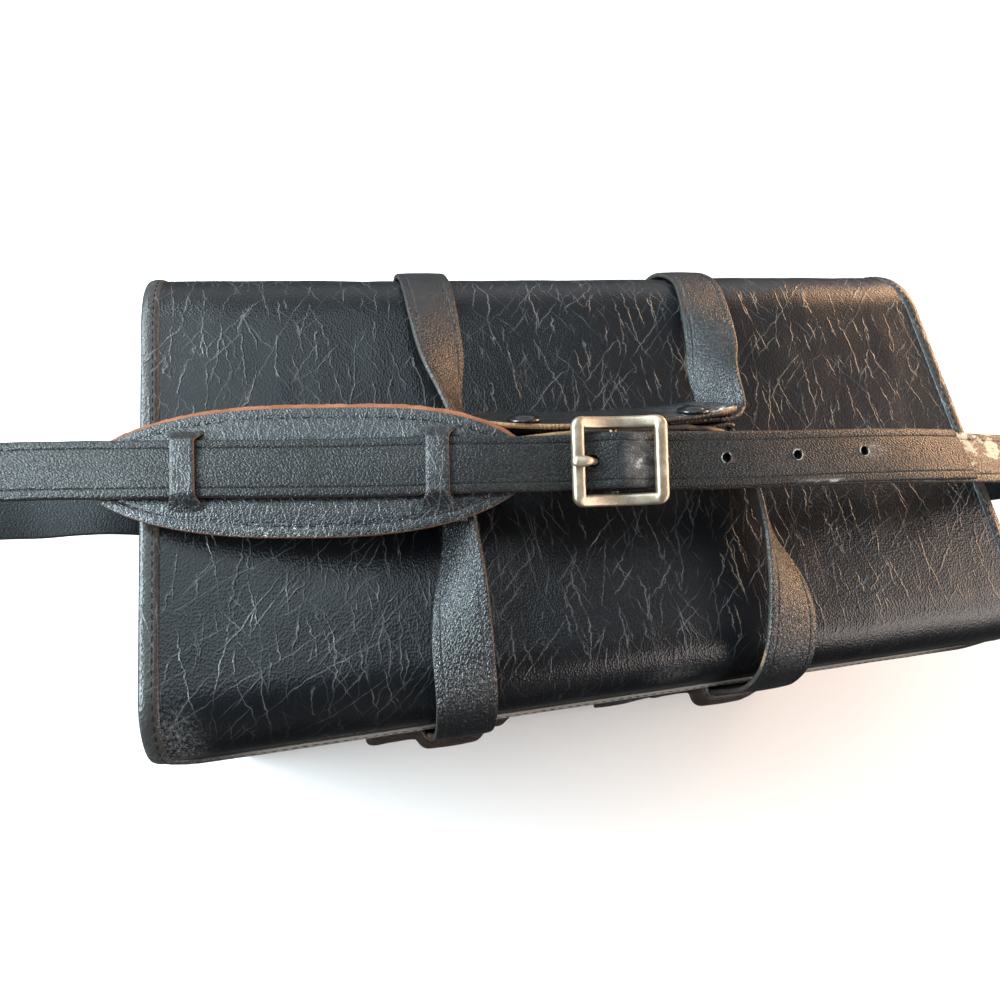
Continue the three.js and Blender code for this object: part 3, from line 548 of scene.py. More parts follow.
def strap_leather(name, tan, flesh, worn, base=(0.0072, 0.008, 0.0092), grain=1.0, cell=1.0, shine=0.5,
                  rub=0.6):
    """Strap leather: a fine crinkled grain, dark cut edges that show tan where the mark is full, and a
    flesh side. Where it is worn, it pales by rub and flakes to the colour worn; on the long half's hump
    by the buckle that paling is a painted sheen."""
    p = Paint(name)
    pebble = p.cells((1.8 * cell, 1.1 * cell, cell), 1.1, 1.1, 0.5).span(0, 0.36)
    fine = p.cells((cell, 0.65 * cell, cell), 1.1, 0.9, -0.3).span(0, 0.4)
    cloud = p.noise((26, 12, 20))
    rubbed = p.noise((2.2, 0.6, 0.6), 3.0, 0.65)
    flakes = p.noise((5.5, 4, 3), 5.0, 0.68)
    scuff = (p.wear_and_sheen() * 0.6 + flakes).span(1.06, 1.13)
    # Painted sheen on the long half's hump by the buckle; elsewhere the paling is real wear.
    pale_wear_and_sheen = p.wear_and_sheen().span(0.15, 0.9, 0, rub) * flakes.span(0.35, 0.6, 0.2, 1)
    pale_wear_and_sheen = pale_wear_and_sheen * (fine * pebble).span(0.1, 0.8, 0.3, 1)
    back = p.mark(2).span(0.5, 1)
    cut = p.mark(0).span(0.05, 0.5)
    bare = p.mark(0).span(0.6, 1) * rubbed.span(0.3, 0.5, 0.5, 1)
    # The crease lines are painted lighter, a painted highlight along the pressed lines.
    p.colour(base, (cloud.span(0.4, 0.75), tuple(c * 1.7 for c in base)),
             (fine * pebble * 0.2, (0.03, 0.032, 0.033)), (p.mark(1) * 0.55, (0.05, 0.05, 0.048)),
             (pale_wear_and_sheen, (0.27, 0.255, 0.24)), (back, flesh), (cut, (0.026, 0.02, 0.016)), (bare, tan),
             (scuff, worn))
    p.rough((cloud * -0.14 + 0.33) + back * 0.2 + cut * 0.2 + scuff * 0.25)
    p.bump(pebble * (0.1 * grain), fine * (0.05 * grain))
    return p.gloss(Specular_IOR_Level=shine)


PAD_WRINKLES = [
    (0.2, 4.2, 6, 0.32, (5, 10), 0.44, 0.8, (0, 0, 0)),
    (-0.35, 5.5, 6, 0.3, (5, 12), 0.46, 0.8, (23, 5, 0)),
    (0.95, 4.4, 5, 0.3, (6, 14), 0.48, 0.65, (31, 7, 0)),
]


def pad_leather():
    p = Paint("pad_leather")
    # Wrinkle lines and veins painted lighter: partly worn colour, partly a painted highlight on their ridges.
    lines, ridges = p.wrinkles(PAD_WRINKLES)
    veins = p.cells((3.4, 2.2, 1), 1.2, 1.1, 0.7).span(0, 0.1, 1, 0)
    pebble = p.cells((1.2, 0.9, 1), 1.6, 0.8).span(0, 0.3)
    cloud = p.noise((24, 14, 20))
    scuff = p.noise((1.6, 0.8, 1), 4.0, 0.7).span(0.55, 0.65) * p.wear_and_sheen()
    cut = p.mark(0)
    p.colour((0.0075, 0.0085, 0.0095), (cloud.span(0.4, 0.7), (0.0125, 0.0138, 0.0148)),
             (lines.most(veins * 0.5) * 0.42, (0.13, 0.137, 0.137)),
             (p.mark(1) * 0.85, (0.004, 0.004, 0.004)), (cut, (0.11, 0.05, 0.025)),
             (scuff, (0.45, 0.45, 0.43)))
    p.rough((cloud * -0.1 + 0.39) + lines * 0.06 + cut * 0.3)
    p.bump(ridges * 0.13, veins * 0.075, pebble * 0.085)
    return p.gloss(Specular_IOR_Level=0.5)


def raw_hide():
    p = Paint("raw_hide")
    fuzz = p.noise((0.5, 0.3, 0.3), 4.0, 0.7)
    cloud = p.noise((9, 5, 5))
    p.colour((0.2, 0.074, 0.036), (cloud.span(0.35, 0.7), (0.29, 0.118, 0.062)),
             (fuzz.span(0.55, 0.8), (0.42, 0.22, 0.13)))
    p.rough(fuzz * 0.2 + 0.75)
    p.bump(fuzz * 0.25)
    return p.gloss(Specular_IOR_Level=0.2)


def aged_metal():
    p = Paint("aged_metal")
    haze = p.noise((4.5, 4.5, 4.5), 4.0, 0.6)
    speck = p.noise((0.45, 0.45, 0.45), 3.0, 0.7)
    brushed = p.noise((6, 0.12, 0.3), 2.0)
    dark = (p.mark(1) * haze.span(0.25, 0.7, 1, 0.6)).most(speck.span(0.52, 0.7) * 0.55)
    p.colour((0.43, 0.35, 0.26), (haze.span(0.4, 0.7), (0.56, 0.48, 0.375)), (dark, (0.12, 0.08, 0.05)))
    p.rough((haze * 0.2 + 0.34) + dark * 0.25)
    p.bump(speck * 0.05, brushed * 0.012)
    return p.gloss(Metallic=1)


def black_enamel():
    p = Paint("black_enamel")
    haze = p.noise((3, 3, 3))
    speck = p.noise((0.4, 0.4, 0.4), 3.0, 0.7)
    p.colour((0.006, 0.006, 0.007), (speck.span(0.62, 0.75) * 0.5, (0.06, 0.05, 0.04)))
    p.rough(haze * 0.18 + 0.1)
    p.bump(speck * 0.015)
    return p.gloss(Specular_IOR_Level=0.6)


def black_thread():
    p = Paint("black_thread")
    twist = p.noise((0.25, 0.25, 0.25), 2.0)
    p.colour((0.006, 0.006, 0.006), (twist.span(0.5, 0.75), (0.022, 0.021, 0.02)))
    p.rough(twist * 0.2 + 0.6)
    p.bump(twist * 0.12)
    return p.gloss(Specular_IOR_Level=0.12)


SHOULDER = dict(tan=(0.06, 0.045, 0.034), flesh=(0.014, 0.016, 0.019), base=(0.0105, 0.0105, 0.0105),
                grain=1.15, cell=0.85, shine=0.27)
panel_paint = crackle_leather()
shoulder_paint = strap_leather("shoulder_leather", worn=(0.4, 0.39, 0.37), rub=1.0, **SHOULDER)
worn_paint = strap_leather("worn_leather", worn=(0.45, 0.42, 0.32), rub=0.15, **SHOULDER)
handle_paint = strap_leather("handle_leather", (0.2, 0.12, 0.07), (0.03, 0.02, 0.015), (0.3, 0.26, 0.22),
                             grain=1.45)
grip_paint = strap_leather("grip_leather", (0.3, 0.16, 0.075), (0.05, 0.03, 0.02), (0.42, 0.41, 0.38),
                           grain=1.1)
keeper_paint = strap_leather("keeper_leather", (0.1, 0.05, 0.03), (0.03, 0.016, 0.01), (0.3, 0.26, 0.22),
                             base=(0.022, 0.012, 0.008))
rim_paint = strap_leather("rim_leather", (0.24, 0.23, 0.21), (0.02, 0.02, 0.02), (0.4, 0.38, 0.35))
pad_paint = pad_leather()
hide_paint = raw_hide()
metal_paint = aged_metal()
enamel_paint = black_enamel()
thread_paint = black_thread()


# The lid: one sheet from the lip over the top and down the back

PROFILE_POINTS = 1600
LID_COLUMNS = 158
LID_ROW_STEP = 2
LIP_ROWS = (0, 0.35, 0.9, 1.7, 2.7, 3.9, 5.2, 6.8, 8.4, 10.2)
top_length = DEPTH - FRONT_ROLL - BACK_ROLL


def profile_table():
    """The sheet's profile: distance from the lip's edge, y, height over the lid plane, and the way along."""
    angle = np.linspace(0, math.pi / 2, 60)
    y = np.concatenate([
        [front_y - LIP_FLARE, front_y], front_y + FRONT_ROLL * (1 - np.cos(angle)),
        back_y - BACK_ROLL * (1 - np.sin(angle)), [back_y]])
    h = np.concatenate([
        [-LIP_DROP, -LIP_DROP + FLARE_HEIGHT], FRONT_ROLL * (np.sin(angle) - 1),
        BACK_ROLL * (np.cos(angle) - 1), [-HEIGHT + BASE_THICKNESS + GAP]])
    s = distances(np.stack([y, h], -1))
    fine = np.linspace(0, s[-1], PROFILE_POINTS)
    y, h = np.interp(fine, s, y), np.interp(fine, s, h)
    kernel = np.hanning(15) / np.hanning(15).sum()
    dy, dh = (np.convolve(np.pad(np.gradient(d), 7, "edge"), kernel, "valid") for d in (y, h))
    size = np.hypot(dy, dh)
    return fine, y, h, dy / size, dh / size


profile_s, profile_y, profile_h, along_y, along_h = profile_table()
profile_length = profile_s[-1]


def lid_along(s):
    return stack(0, np.interp(s, profile_s, along_y), np.interp(s, profile_s, along_h))


def lid_normal(s):
    along = lid_along(s)
    return stack(0, -along[..., 2], along[..., 1])


def lid_at(x, s, depth):
    x, s, depth = np.broadcast_arrays(*[np.asarray(v, float) for v in (x, s, depth)])
    y = np.interp(s, profile_s, profile_y)
    h = np.interp(s, profile_s, profile_h)
    normal = lid_normal(s)
    middle = (FRONT_ROLL - BACK_ROLL) / 2
    across = np.maximum(np.cos(math.pi * (y - middle) / (top_length * 1.3)), 0) ** 2
    sag = LID_SAG * np.cos(math.pi * x / LENGTH) * across * np.maximum(normal[..., 2], 0)
    return stack(x, y, HEIGHT + h - sag) - normal * depth[..., None]


def lid_half_length(s):
    short = np.clip(LIP_CORNER - s, 0, LIP_CORNER)
    return half_length - LIP_CORNER + np.sqrt(LIP_CORNER ** 2 - short ** 2)


def lid_swell(x, s):
    """Soft dents and swells of the sheet, none at its sewn edges."""
    inside = smooth(half_length - np.abs(x), 5, 25) * smooth(s, 8, 24)
    spot = stack(x, s, 0)
    slow = noise(spot, 48, 3) * 0.55 + noise(spot, 21, 4) * 0.25
    quick = noise(spot * (1, 0.55, 1), 7, 5) * 0.13
    return inside * (slow + quick)


# The lid's rubbed places: middle, stretch, outer and inner reach, and strength
LID_RUBS = (
    ((7 - half_length, 22), (1.3, 0.7), 17, 2, 0.9),
    ((half_length - 4, 10), (1, 1), 12, 2, 0.5),
    ((10, 25), (0.8, 1.6), 11, 2, 0.45),
)


def build_lid():
    rows = [*LIP_ROWS, *np.arange(LIP_CORNER, profile_length - 1, LID_ROW_STEP), profile_length]
    s = np.repeat(np.array(rows)[:, None], LID_COLUMNS, 1)
    x = np.linspace(-1, 1, LID_COLUMNS) * lid_half_length(s)
    add_shell("lid_sheet", lid_at(x, s, -lid_swell(x, s)), lid_at(x, s, WALL), panel_paint, "crackle_leather",
              ["lid_back_panel"], flat=(stack(x, s, 0), stack(x, s, -WALL)),
              wear_and_sheen=np.maximum.reduce([rub_and_sheen_spot(x, s, *row) for row in LID_RUBS]))


build_lid()


def edge_path():
    """The lid's edge: up from the foot of the back, round the lip and back. Rows of x, s and the way in."""
    path = [(-half_length, s, 1, 0) for s in np.arange(profile_length - 0.2, LIP_CORNER, -2.5)]
    for angle in np.linspace(0, math.pi / 2, 13):
        c, d = math.cos(angle), math.sin(angle)
        path.append((-half_length + LIP_CORNER * (1 - c), LIP_CORNER * (1 - d), c, d))
    lip = half_length - LIP_CORNER
    path += [(x, 0, 0, 1) for x in np.linspace(-lip, 0, 62)[1:]]
    path += [(-x, s, -bx, bs) for x, s, bx, bs in path[-2::-1]]
    return np.array(path)


# The binding's section: rows of place inwards from the sheet's edge and place out of the sheet
BINDING = np.array([
    (-1.3, -WALL), (-1.4, -1.9), (-1.36, -1.2), (-1.15, -0.55), (-0.75, 0), (-0.15, 0.3), (0.6, 0.52),
    (1.5, 0.64), (2.3, 0.62), (2.9, 0.5), (3.4, 0.54), (3.9, 0.42), (4.4, 0.2), (5.0, -0.08), (4.6, -0.2),
    (-0.2, -0.2), (-0.2, -WALL)])
BINDING_SEAM = (2.9, 0.55)


def build_binding():
    x, s, bx, bs = edge_path().T
    place = lid_at(x, s, 0)
    inward = unit(stack(bx, 0, 0) + lid_along(s) * bs[:, None])
    normal = lid_normal(s)
    far = distances(place)
    uneven = noise(stack(far, 0, 0), 7, 11) * 0.12
    across, out = BINDING.T
    out = out + uneven[:, None] * smooth(out, 0.2, 0.8)
    points = place[:, None] + inward[:, None] * across[:, None] + normal[:, None] * out[..., None]
    rest = stack(x[:, None] + bx[:, None] * across, s[:, None] + bs[:, None] * across, 0)
    corner = far[np.argmin(np.hypot(x + half_length - 4, s - 4))]
    wear_and_sheen = smooth(np.abs(far - corner), 30, 4)[:, None] * 0.9 + 0 * across
    # Painted sheen: the binding is painted a little lighter all round, and much lighter along the lip's front
    # away from its ends.
    painted_sheen = 0.1 + 0.75 * smooth(bs, 0.7, 1) * smooth(np.abs(x), half_length - 10, half_length - 40)
    add_piece("lid_binding_strip", points, tube_faces(len(far), len(BINDING)), panel_paint, "binding_leather",
              ["lid_binding"], flat=rest, wear_and_sheen=wear_and_sheen, marks=stack(0, 0, painted_sheen[:, None] + 0 * across))
    seam_in, seam_out = BINDING_SEAM
    line = place + inward * seam_in + normal * seam_out
    add_thread("lid_stitches", [(line[2:-2], normal[2:-2])], "binding_leather", pitch=3.4, radius=0.2)


build_binding()


# The walls under the lid

FRONT_CLEARANCE = 0.8
PLATE_BEVEL = 0.7
PLATE_RINGS = (0.9, 0.6, 0.35, 0.15, 0.05)
UPRIGHT = [[1, 0, 0], [0, 0, 1], [0, -1, 0]]
LEVEL = [[1, 0, 0], [0, 1, 0], [0, 0, 1]]
front_panel_y = front_y + WALL + FRONT_CLEARANCE
end_x = half_length - END_INSET
wall_foot = BASE_THICKNESS + GAP


def sideways(side):
    return [[0, 1, 0], [0, 0, 1], [side, 0, 0]]


def build_plate(name, outline, low, thickness, axes, material, slot, seed, replaces, puff=0.5):
    """A plate with rounded edges and a slight swell. outline goes round it, and axes turn its own axes to the
    frame's."""
    outline = np.asarray(outline, float)
    middle = outline.mean(0)
    ahead = np.roll(outline, -1, 0) - np.roll(outline, 1, 0)
    inward = unit(np.stack([-ahead[:, 1], ahead[:, 0]], -1))
    inward *= np.sign(((middle - outline) * inward).sum(1, keepdims=True)) * PLATE_BEVEL
    rings = [(middle + (outline + inward - middle) * (1 - share), 0) for share in PLATE_RINGS]
    for t in np.linspace(0, math.pi / 2, 5):
        rings.append((outline + inward * (1 - math.sin(t)), PLATE_BEVEL * (1 - math.cos(t))))
    size = np.abs(outline - middle).max(0)
    top, bottom = [], []
    for ring, drop in rings:
        x, y = ring.T
        swell = puff * np.prod(np.clip(1 - ((ring - middle) / size) ** 2, 0, 1), axis=1)
        swell = swell + smooth(swell, 0, 0.1) * noise(stack(x, y, 0), 30, seed) * 0.3
        top.append(stack(x, y, low + thickness - drop + swell))
        bottom.append(stack(x, y, low + drop))
    grid = np.array(top + bottom[::-1])
    return add_piece(name, grid @ np.asarray(axes, float), tube_faces(*grid.shape[:2]), material, slot,
                     replaces, flat=grid + np.array([400 * seed, 0, 0]))


def even_outline(points, gap=4.0):
    """The same closed outline with extra points along its long sides."""
    result = []
    for a, b in zip(points, points[1:] + points[:1]):
        count = max(int(math.dist(a, b) / gap), 1)
        result += [tuple(np.array(a) + (np.array(b) - np.array(a)) * k / count) for k in range(count)]
    return result


def arc(x, y, radius, start, end, count):
    return [(x + radius * math.cos(q), y + radius * math.sin(q)) for q in np.linspace(start, end, count)]


def rounded_rectangle(x0, x1, y0, y1, radius, gap=4.0):
    x0, x1, y0, y1 = x0 + radius, x1 - radius, y0 + radius, y1 - radius
    points = []
    for quarter, (x, y) in enumerate(((x1, y1), (x0, y1), (x0, y0), (x1, y0))):
        points += arc(x, y, radius, quarter * math.pi / 2, (quarter + 1) * math.pi / 2, 7)
    return even_outline(points, gap)


front_outline = rounded_rectangle(-end_x, end_x, wall_foot, HEIGHT - FRONT_ROLL - 1, 2)
build_plate("front_wall", front_outline, -front_panel_y - WALL, WALL, UPRIGHT, panel_paint,
            "crackle_leather", 21, ["front_panel"])
base_outline = rounded_rectangle(-half_length, half_length, front_panel_y - 0.2, back_y, 8)
build_plate("base_wall", base_outline, 0, BASE_THICKNESS, LEVEL, panel_paint, "crackle_leather", 22,
            ["base_panel"], puff=0)


def end_outline():
    inset = WALL + 2 * GAP
    front = front_panel_y + WALL + GAP
    front_r, back_r = FRONT_ROLL - inset, BACK_ROLL - inset
    front_middle = front_y + FRONT_ROLL
    start = math.acos((front_middle - front) / front_r)
    points = [(front, wall_foot), (back_y - inset, wall_foot)]
    points += arc(back_y - BACK_ROLL, HEIGHT - inset - back_r, back_r, 0, math.pi / 2, 14)
    points += arc(front_middle, HEIGHT - inset - front_r, front_r, math.pi / 2, math.pi - start, 10)
    return even_outline(points)


def side_seam(line, side, x):
    """Stitch lines on one end of the case."""
    run = stack(side * x, line[:, 0], line[:, 1])
    return run, np.tile([float(side), 0, 0], (len(run), 1))


END_SEAM_IN = 10
SIDES = (("left", -1), ("right", 1))


def build_ends():
    outline = end_outline()
    middle = np.mean(outline, 0)
    line = np.array([p for p in outline if p[1] < HEIGHT - BACK_ROLL - 12])
    line = line[np.argsort(np.arctan2(line[:, 0] - middle[0], -(line[:, 1] - middle[1])))]
    line = middle + (line - middle) * np.array([1 - END_SEAM_IN / DEPTH, 1 - END_SEAM_IN / HEIGHT])
    for name, side in SIDES:
        build_plate(f"end_wall_{name}", outline, end_x - WALL, WALL, sideways(side), panel_paint,
                    "crackle_leather", 23 + side, [f"end_panel_{name}"])
    add_thread("end_stitches", [side_seam(line, side, end_x + 0.1) for _, side in SIDES], "binding_leather",
               pitch=4.2, lift=0.1)


build_ends()


# The handle: two straps and the wrap around them

GRIP_Y = 4
GRIP_RISE = 10.6
FOOT_RISE = 5
BACK_FEET_X = (-61, 57)
grip_up = np.array([0, -math.cos(GRIP_LEAN), math.sin(GRIP_LEAN)])
grip_out = np.array([0, math.sin(GRIP_LEAN), math.cos(GRIP_LEAN)])
grip_centre = np.array([HANDLE_CENTRE_X, GRIP_Y, HEIGHT + GRIP_RISE])
strap_layer = half_thick + GAP
foot_h = wall_foot + FOOT_RISE - HEIGHT
back_wall_y = back_y + strap_layer
front_wall_y = front_panel_y - strap_layer


def grip_place(x):
    x = np.asarray(x, float)
    share = x / (GRIP_LENGTH / 2)
    return grip_centre + stack(x, -GRIP_BOW * (1 - share ** 2), 0)


def grip_row(x, layer):
    place = grip_place(x) + grip_out * layer * strap_layer
    h = place[2] - HEIGHT
    return (HANDLE_CENTRE_X - x, HANDLE_CENTRE_X + x, place[1], h, h, tuple(grip_out))


def back_roll_row(degrees):
    n = (0, math.cos(math.radians(degrees)), math.sin(math.radians(degrees)))
    radius = BACK_ROLL + strap_layer + 0.5
    h = -BACK_ROLL + radius * n[2]
    return (*BACK_FEET_X, back_y - BACK_ROLL + radius * n[1], h, h, n)


# Rows of x at the left and right, y, the two heights above the lid plane, and the right side's normal
back_rows = [
    (*BACK_FEET_X, back_wall_y, foot_h, foot_h, (0, 1, 0)),
    (*BACK_FEET_X, back_wall_y, -60, -60, (0, 1, 0)),
    back_roll_row(0),
    back_roll_row(28),
    back_roll_row(60),
    (-61, 53.6, 56, 4.6, 4.6, (-0.16, 0.1, 0.97)),
    (-60.8, 50.2, 38, 7.8, 7.6, (-0.4, 0.12, 0.9)),
    (-60.8, 46.6, 26, 9.6, 9.4, (-0.68, 0.15, 0.7)),
    (-59.6, 45.2, 15.2, 10.6, 10.6, (-0.86, 0.26, 0.42)),
    (-57.2, 44.4, 9, 11, 11, (-0.6, 0.64, 0.5)),
]
front_rows = [
    (-66.5, 47, front_wall_y, foot_h, foot_h, (0, -1, 0)),
    (-66.5, 47, front_wall_y, -104, -104, (0, -1, 0)),
    (-66.5, 47, front_wall_y - 0.2, -84, -84, (0, -1, 0.02)),
    (-66.5, 47, front_wall_y - 0.8, -66, -66, (0, -1, 0.1)),
    (-66.5, 47, -93.2, -48, -48, (0, -1, 0.1)),
    (-66.8, 46.5, -95.3, -30, -30, (0, -1, 0.02)),
    (-67, 46.5, -95.4, -9, -7, (0, -0.95, 0.3)),
    (-67, 47, -88, 2.4, 7, (0, -0.6, 0.8)),
    (-66.8, 49.5, -74, 6.4, 12.4, (0.15, -0.1, 0.98)),
    (-66, 51, -60.5, 7.8, 13, (0.42, 0, 0.9)),
    (-64.2, 50.6, -45, 8.4, 11.4, (0.78, -0.05, 0.62)),
    (-63, 50, -31, 8.1, 9.4, (0.93, 0.02, 0.37)),
    (-61.8, 49.6, -15, 8, 8.4, (0.88, 0.24, 0.42)),
    (-60.8, 48.8, -4.4, 8.6, 8.6, (0.72, 0.46, 0.52)),
    (-58.8, 46.8, 1, 9.2, 9.2, (0.34, 0.74, 0.58)),
]
GRIP_ROWS_X = (48.5, 38, 20)


def handle_route(rows, layer):
    rows = rows + [grip_row(x, layer) for x in GRIP_ROWS_X]
    left = [((xl, y, HEIGHT + hl), (-n[0], n[1], n[2])) for xl, _, y, hl, _, n in rows]
    right = [((xr, y, HEIGHT + hr), n) for _, xr, y, _, hr, n in rows]
    x, _, y, h, _, n = grip_row(0, layer)
    both = left + [((x, y, HEIGHT + h), n)] + right[::-1]
    return Route(*zip(*both))


strap_section = strap_ring(STRAP_WIDTH, STRAP_THICKNESS)
back_route = handle_route(back_rows, 1)
front_route = handle_route(front_rows, -1)
add_strap("handle_back", back_route, strap_section, handle_paint, 1, ["handle_strap_back"])
add_strap("handle_front", front_route, strap_section, handle_paint, 2, ["handle_strap_front"])


def sewn_box(route, at_start, first, long, half, crossed=False):
    """Stitch lines in a box at one end of a strap."""
    low, high = first, first + long
    box = [(low, -half), (high, -half), (high, half), (low, half), (low, -half)]
    if crossed:
        box.append((high, half))
    a, v = np.concatenate([np.linspace(p, q, 12) for p, q in zip(box, box[1:])]).T
    a = a if at_start else route.length - a
    return route.at(a, v, half_thick + 0.1), route.look(route.normal, a)


foot_seams = [sewn_box(r, s, 4, 16, half_width - 5) for r in (back_route, front_route) for s in (True, False)]
add_thread("handle_stitches", foot_seams, "strap_leather", pitch=3)

WRAP_FLARE = 0.8
WRAP_REACH = 16.2
WRAP_END_REACH = 11.2
FOLD_TRIM = 0.17
LOWER_TRIM = 0.09
wrap_inner = strap_layer + half_thick + 1.6 * GAP
wrap_shoulder = half_width + 0.4
wrap_fold = half_width + 0.6


def grip_section(reach, flare, offset, lower_more):
    """A section across the wrap, as rows of place up, place out, trim at the ends and raw edge."""
    inner = wrap_inner + flare + offset
    rows = [(reach, inner, 0, 1), (reach - 0.3, inner, 0, 0)]
    for v in np.linspace(reach - 1.2, -wrap_fold + 1, 22):
        rows.append((v, inner, FOLD_TRIM * smooth(v, 4, -wrap_fold), 0))
    for angle in np.linspace(0, math.pi, 13):
        rows.append((-wrap_fold - inner * 0.5 * math.sin(angle), inner * math.cos(angle), FOLD_TRIM, 0))
    for v in np.linspace(-wrap_fold + 1, wrap_shoulder, 18):
        trim = FOLD_TRIM + (LOWER_TRIM - FOLD_TRIM) * smooth(v, -wrap_fold, wrap_shoulder)
        rows.append((v, -inner, trim, 0))
    closing = (reach - wrap_shoulder) / (WRAP_REACH - wrap_shoulder)
    rise = closing * (2 * wrap_inner - GAP)
    for share in (0.15, 0.35, 0.55, 0.75, 0.92, 0.99, 1):
        v = wrap_shoulder + (reach + lower_more - wrap_shoulder) * share
        rows.append((v, -inner + rise * smooth(share, 0, 1), LOWER_TRIM, 1 if share > 0.99 else 0))
    return np.array(rows)


def build_grip():
    shares = np.concatenate([[-1, -0.993], np.linspace(-1, 1, 90)[1:-1], [0.993, 1]])
    grids, marks, flats = [], [], []
    for offset in (GRIP_WALL, 0):
        grid, mark = [], []
        for share in shares:
            ragged = float(noise(np.array([share * 50, 0, 0]), 5, 31)) * 0.35
            reach = WRAP_END_REACH + (WRAP_REACH - WRAP_END_REACH) * (1 - abs(share) ** 3)
            more = 0.55 + 0.5 * float(noise(np.array([share * 50, 9, 0]), 8, 32))
            rows = grip_section(reach + ragged * (1 - share ** 8), WRAP_FLARE * abs(share) ** 8, offset, more)
            v, out, trim, raw = rows.T
            x = share * (1 - trim) * GRIP_LENGTH / 2
            out = out + noise(stack(x, v, out), 11, 33) * 0.16 * np.sign(out)
            grid.append(grip_place(x) + v[:, None] * grip_up + out[:, None] * grip_out)
            bare = 0.5 + 0.5 * max(smooth(share, -0.1, -0.5), smooth(share, 0.78, 0.93))
            end = np.maximum(raw, 1.0 if abs(share) == 1 else 0.0) * bare
            mark.append(stack(end, 0, 0 if offset else 1))
        grid = np.array(grid)
        far = np.cumsum(np.linalg.norm(np.diff(grid, axis=1, prepend=grid[:, :1]), axis=2), axis=1)
        grids.append(grid)
        marks.append(np.array(mark))
        flats.append(stack((shares * GRIP_LENGTH / 2)[:, None] + 3000, far, offset - GRIP_WALL))
    from_edge = flats[0][..., 1]
    rub = smooth(shares, 0.15, 0.6)[:, None] * (0.55 + 0.4 * smooth(from_edge, 9, 1))
    rub = rub * smooth(from_edge, 30, 16)
    add_shell("grip_wrap", *grids, grip_paint, "strap_leather", ["handle_grip"], flat=flats, marks=marks,
              wear_and_sheen=rub)


build_grip()

SNAP_SPACING = 64
SNAP_REACH = 10
SNAP_SIDES = 40
# A snap cap's profile: rows of radius and height
SNAP_PROFILE = [
    (SNAP_RADIUS - 0.5, -0.25), (SNAP_RADIUS - 0.1, -0.1), (SNAP_RADIUS, 0.25), (SNAP_RADIUS - 0.15, 0.6),
    (SNAP_RADIUS - 0.6, 0.85), (SNAP_RADIUS - 1.1, 0.8), (SNAP_RADIUS - 1.4, 0.85), (SNAP_RADIUS - 1.9, 1.35),
    (SNAP_RADIUS * 0.5, 1.85), (SNAP_RADIUS * 0.25, 2.1), (0.4, 2.15)]


def build_snaps():
    across = unit(np.cross(grip_out, [1, 0, 0.01]))
    other = np.cross(grip_out, across)
    turn = full_turn(SNAP_SIDES)[:, None]
    radius, rise = np.array(SNAP_PROFILE).T[..., None, None]
    cap = grip_out * rise + radius * (across * np.cos(turn) + other * np.sin(turn))
    lift = wrap_inner + GRIP_WALL + 2 * GAP
    for name, side in SIDES:
        spot = grip_place(side * SNAP_SPACING / 2) + grip_up * SNAP_REACH + grip_out * lift
        add_piece(f"snap_cap_{name}", spot + cap, tube_faces(len(SNAP_PROFILE), SNAP_SIDES), enamel_paint,
                  "snap_metal", [f"grip_snap_{name}"])


build_snaps()


# Keepers on the front wall

KEEPER_THICKNESS = 1.6
KEEPER_HEIGHT = 15
KEEPER_BULGE_Y = -97.5
KEEPER_LEAN = 0.15
KEEPER_DROP = 42.9
KEEPER_FOLD = 2.1
keeper_z = HEIGHT - KEEPER_DROP
# Each keeper's name, place and how far its ends stand off the wall
KEEPERS = (("left", front_rows[0][0], 2.2), ("right", front_rows[0][1], 0.3))


def keeper_route(x, loose):
    """A band over the strap. Its ends are folded under themselves on the wall, and stand off it where
    loose."""
    on_wall = front_panel_y - GAP - KEEPER_THICKNESS / 2
    inner = on_wall - loose
    outer = inner - KEEPER_FOLD
    fold = (inner + outer) / 2
    bulge = [(-15.5, outer), (-12.9, outer - 0.5), (-11.7, outer - 1.9), (-11, KEEPER_BULGE_Y + 1.3),
             (-9.4, KEEPER_BULGE_Y + 0.1), (-5, KEEPER_BULGE_Y - 0.2), (0, KEEPER_BULGE_Y - 0.3)]
    back = [(-dx, y) for dx, y in bulge[-2::-1]]
    left_end = [(-18, on_wall), (-22.5, on_wall), (-27, inner + 0.3 * loose), (-29.8, inner), (-31, fold),
                (-29.8, outer), (-22, outer)]
    right_end = [(19.8, outer), (21, fold), (19.8, inner), (17, inner + 0.3 * loose), (13.5, on_wall)]
    places = np.array([(x + dx, y, keeper_z) for dx, y in left_end + bulge + back + right_end])
    ahead = unit(np.gradient(places, axis=0))
    return Route(places, stack(ahead[:, 1], -ahead[:, 0], KEEPER_LEAN * ahead[:, 0]), soften=1.0)


def build_keepers():
    section = strap_ring(KEEPER_HEIGHT, KEEPER_THICKNESS, crease_in=2.2, crease_depth=0.3)
    seams = []
    for seed, (name, x, loose) in enumerate(KEEPERS, 5):
        route = keeper_route(x, loose)
        add_strap(f"keeper_band_{name}", route, section, keeper_paint, seed, [f"keeper_{name}"], step=0.5)
        v = np.linspace(-KEEPER_HEIGHT / 2 + 2, KEEPER_HEIGHT / 2 - 2, 8)
        for a in (19, route.length - 14):
            seams.append((route.at(a, v, KEEPER_THICKNESS / 2 + 0.1), np.tile([0.0, -1, 0], (8, 1))))
    add_thread("keeper_stitches", seams, "strap_leather", pitch=2.6)


build_keepers()


# The shoulder strap: the long half from the left end, over the pad and through the buckle

TAB_THICKNESS = 2
sewn_x = end_x + TAB_THICKNESS + 2 * GAP + half_thick
BUCKLE_X = -10.6

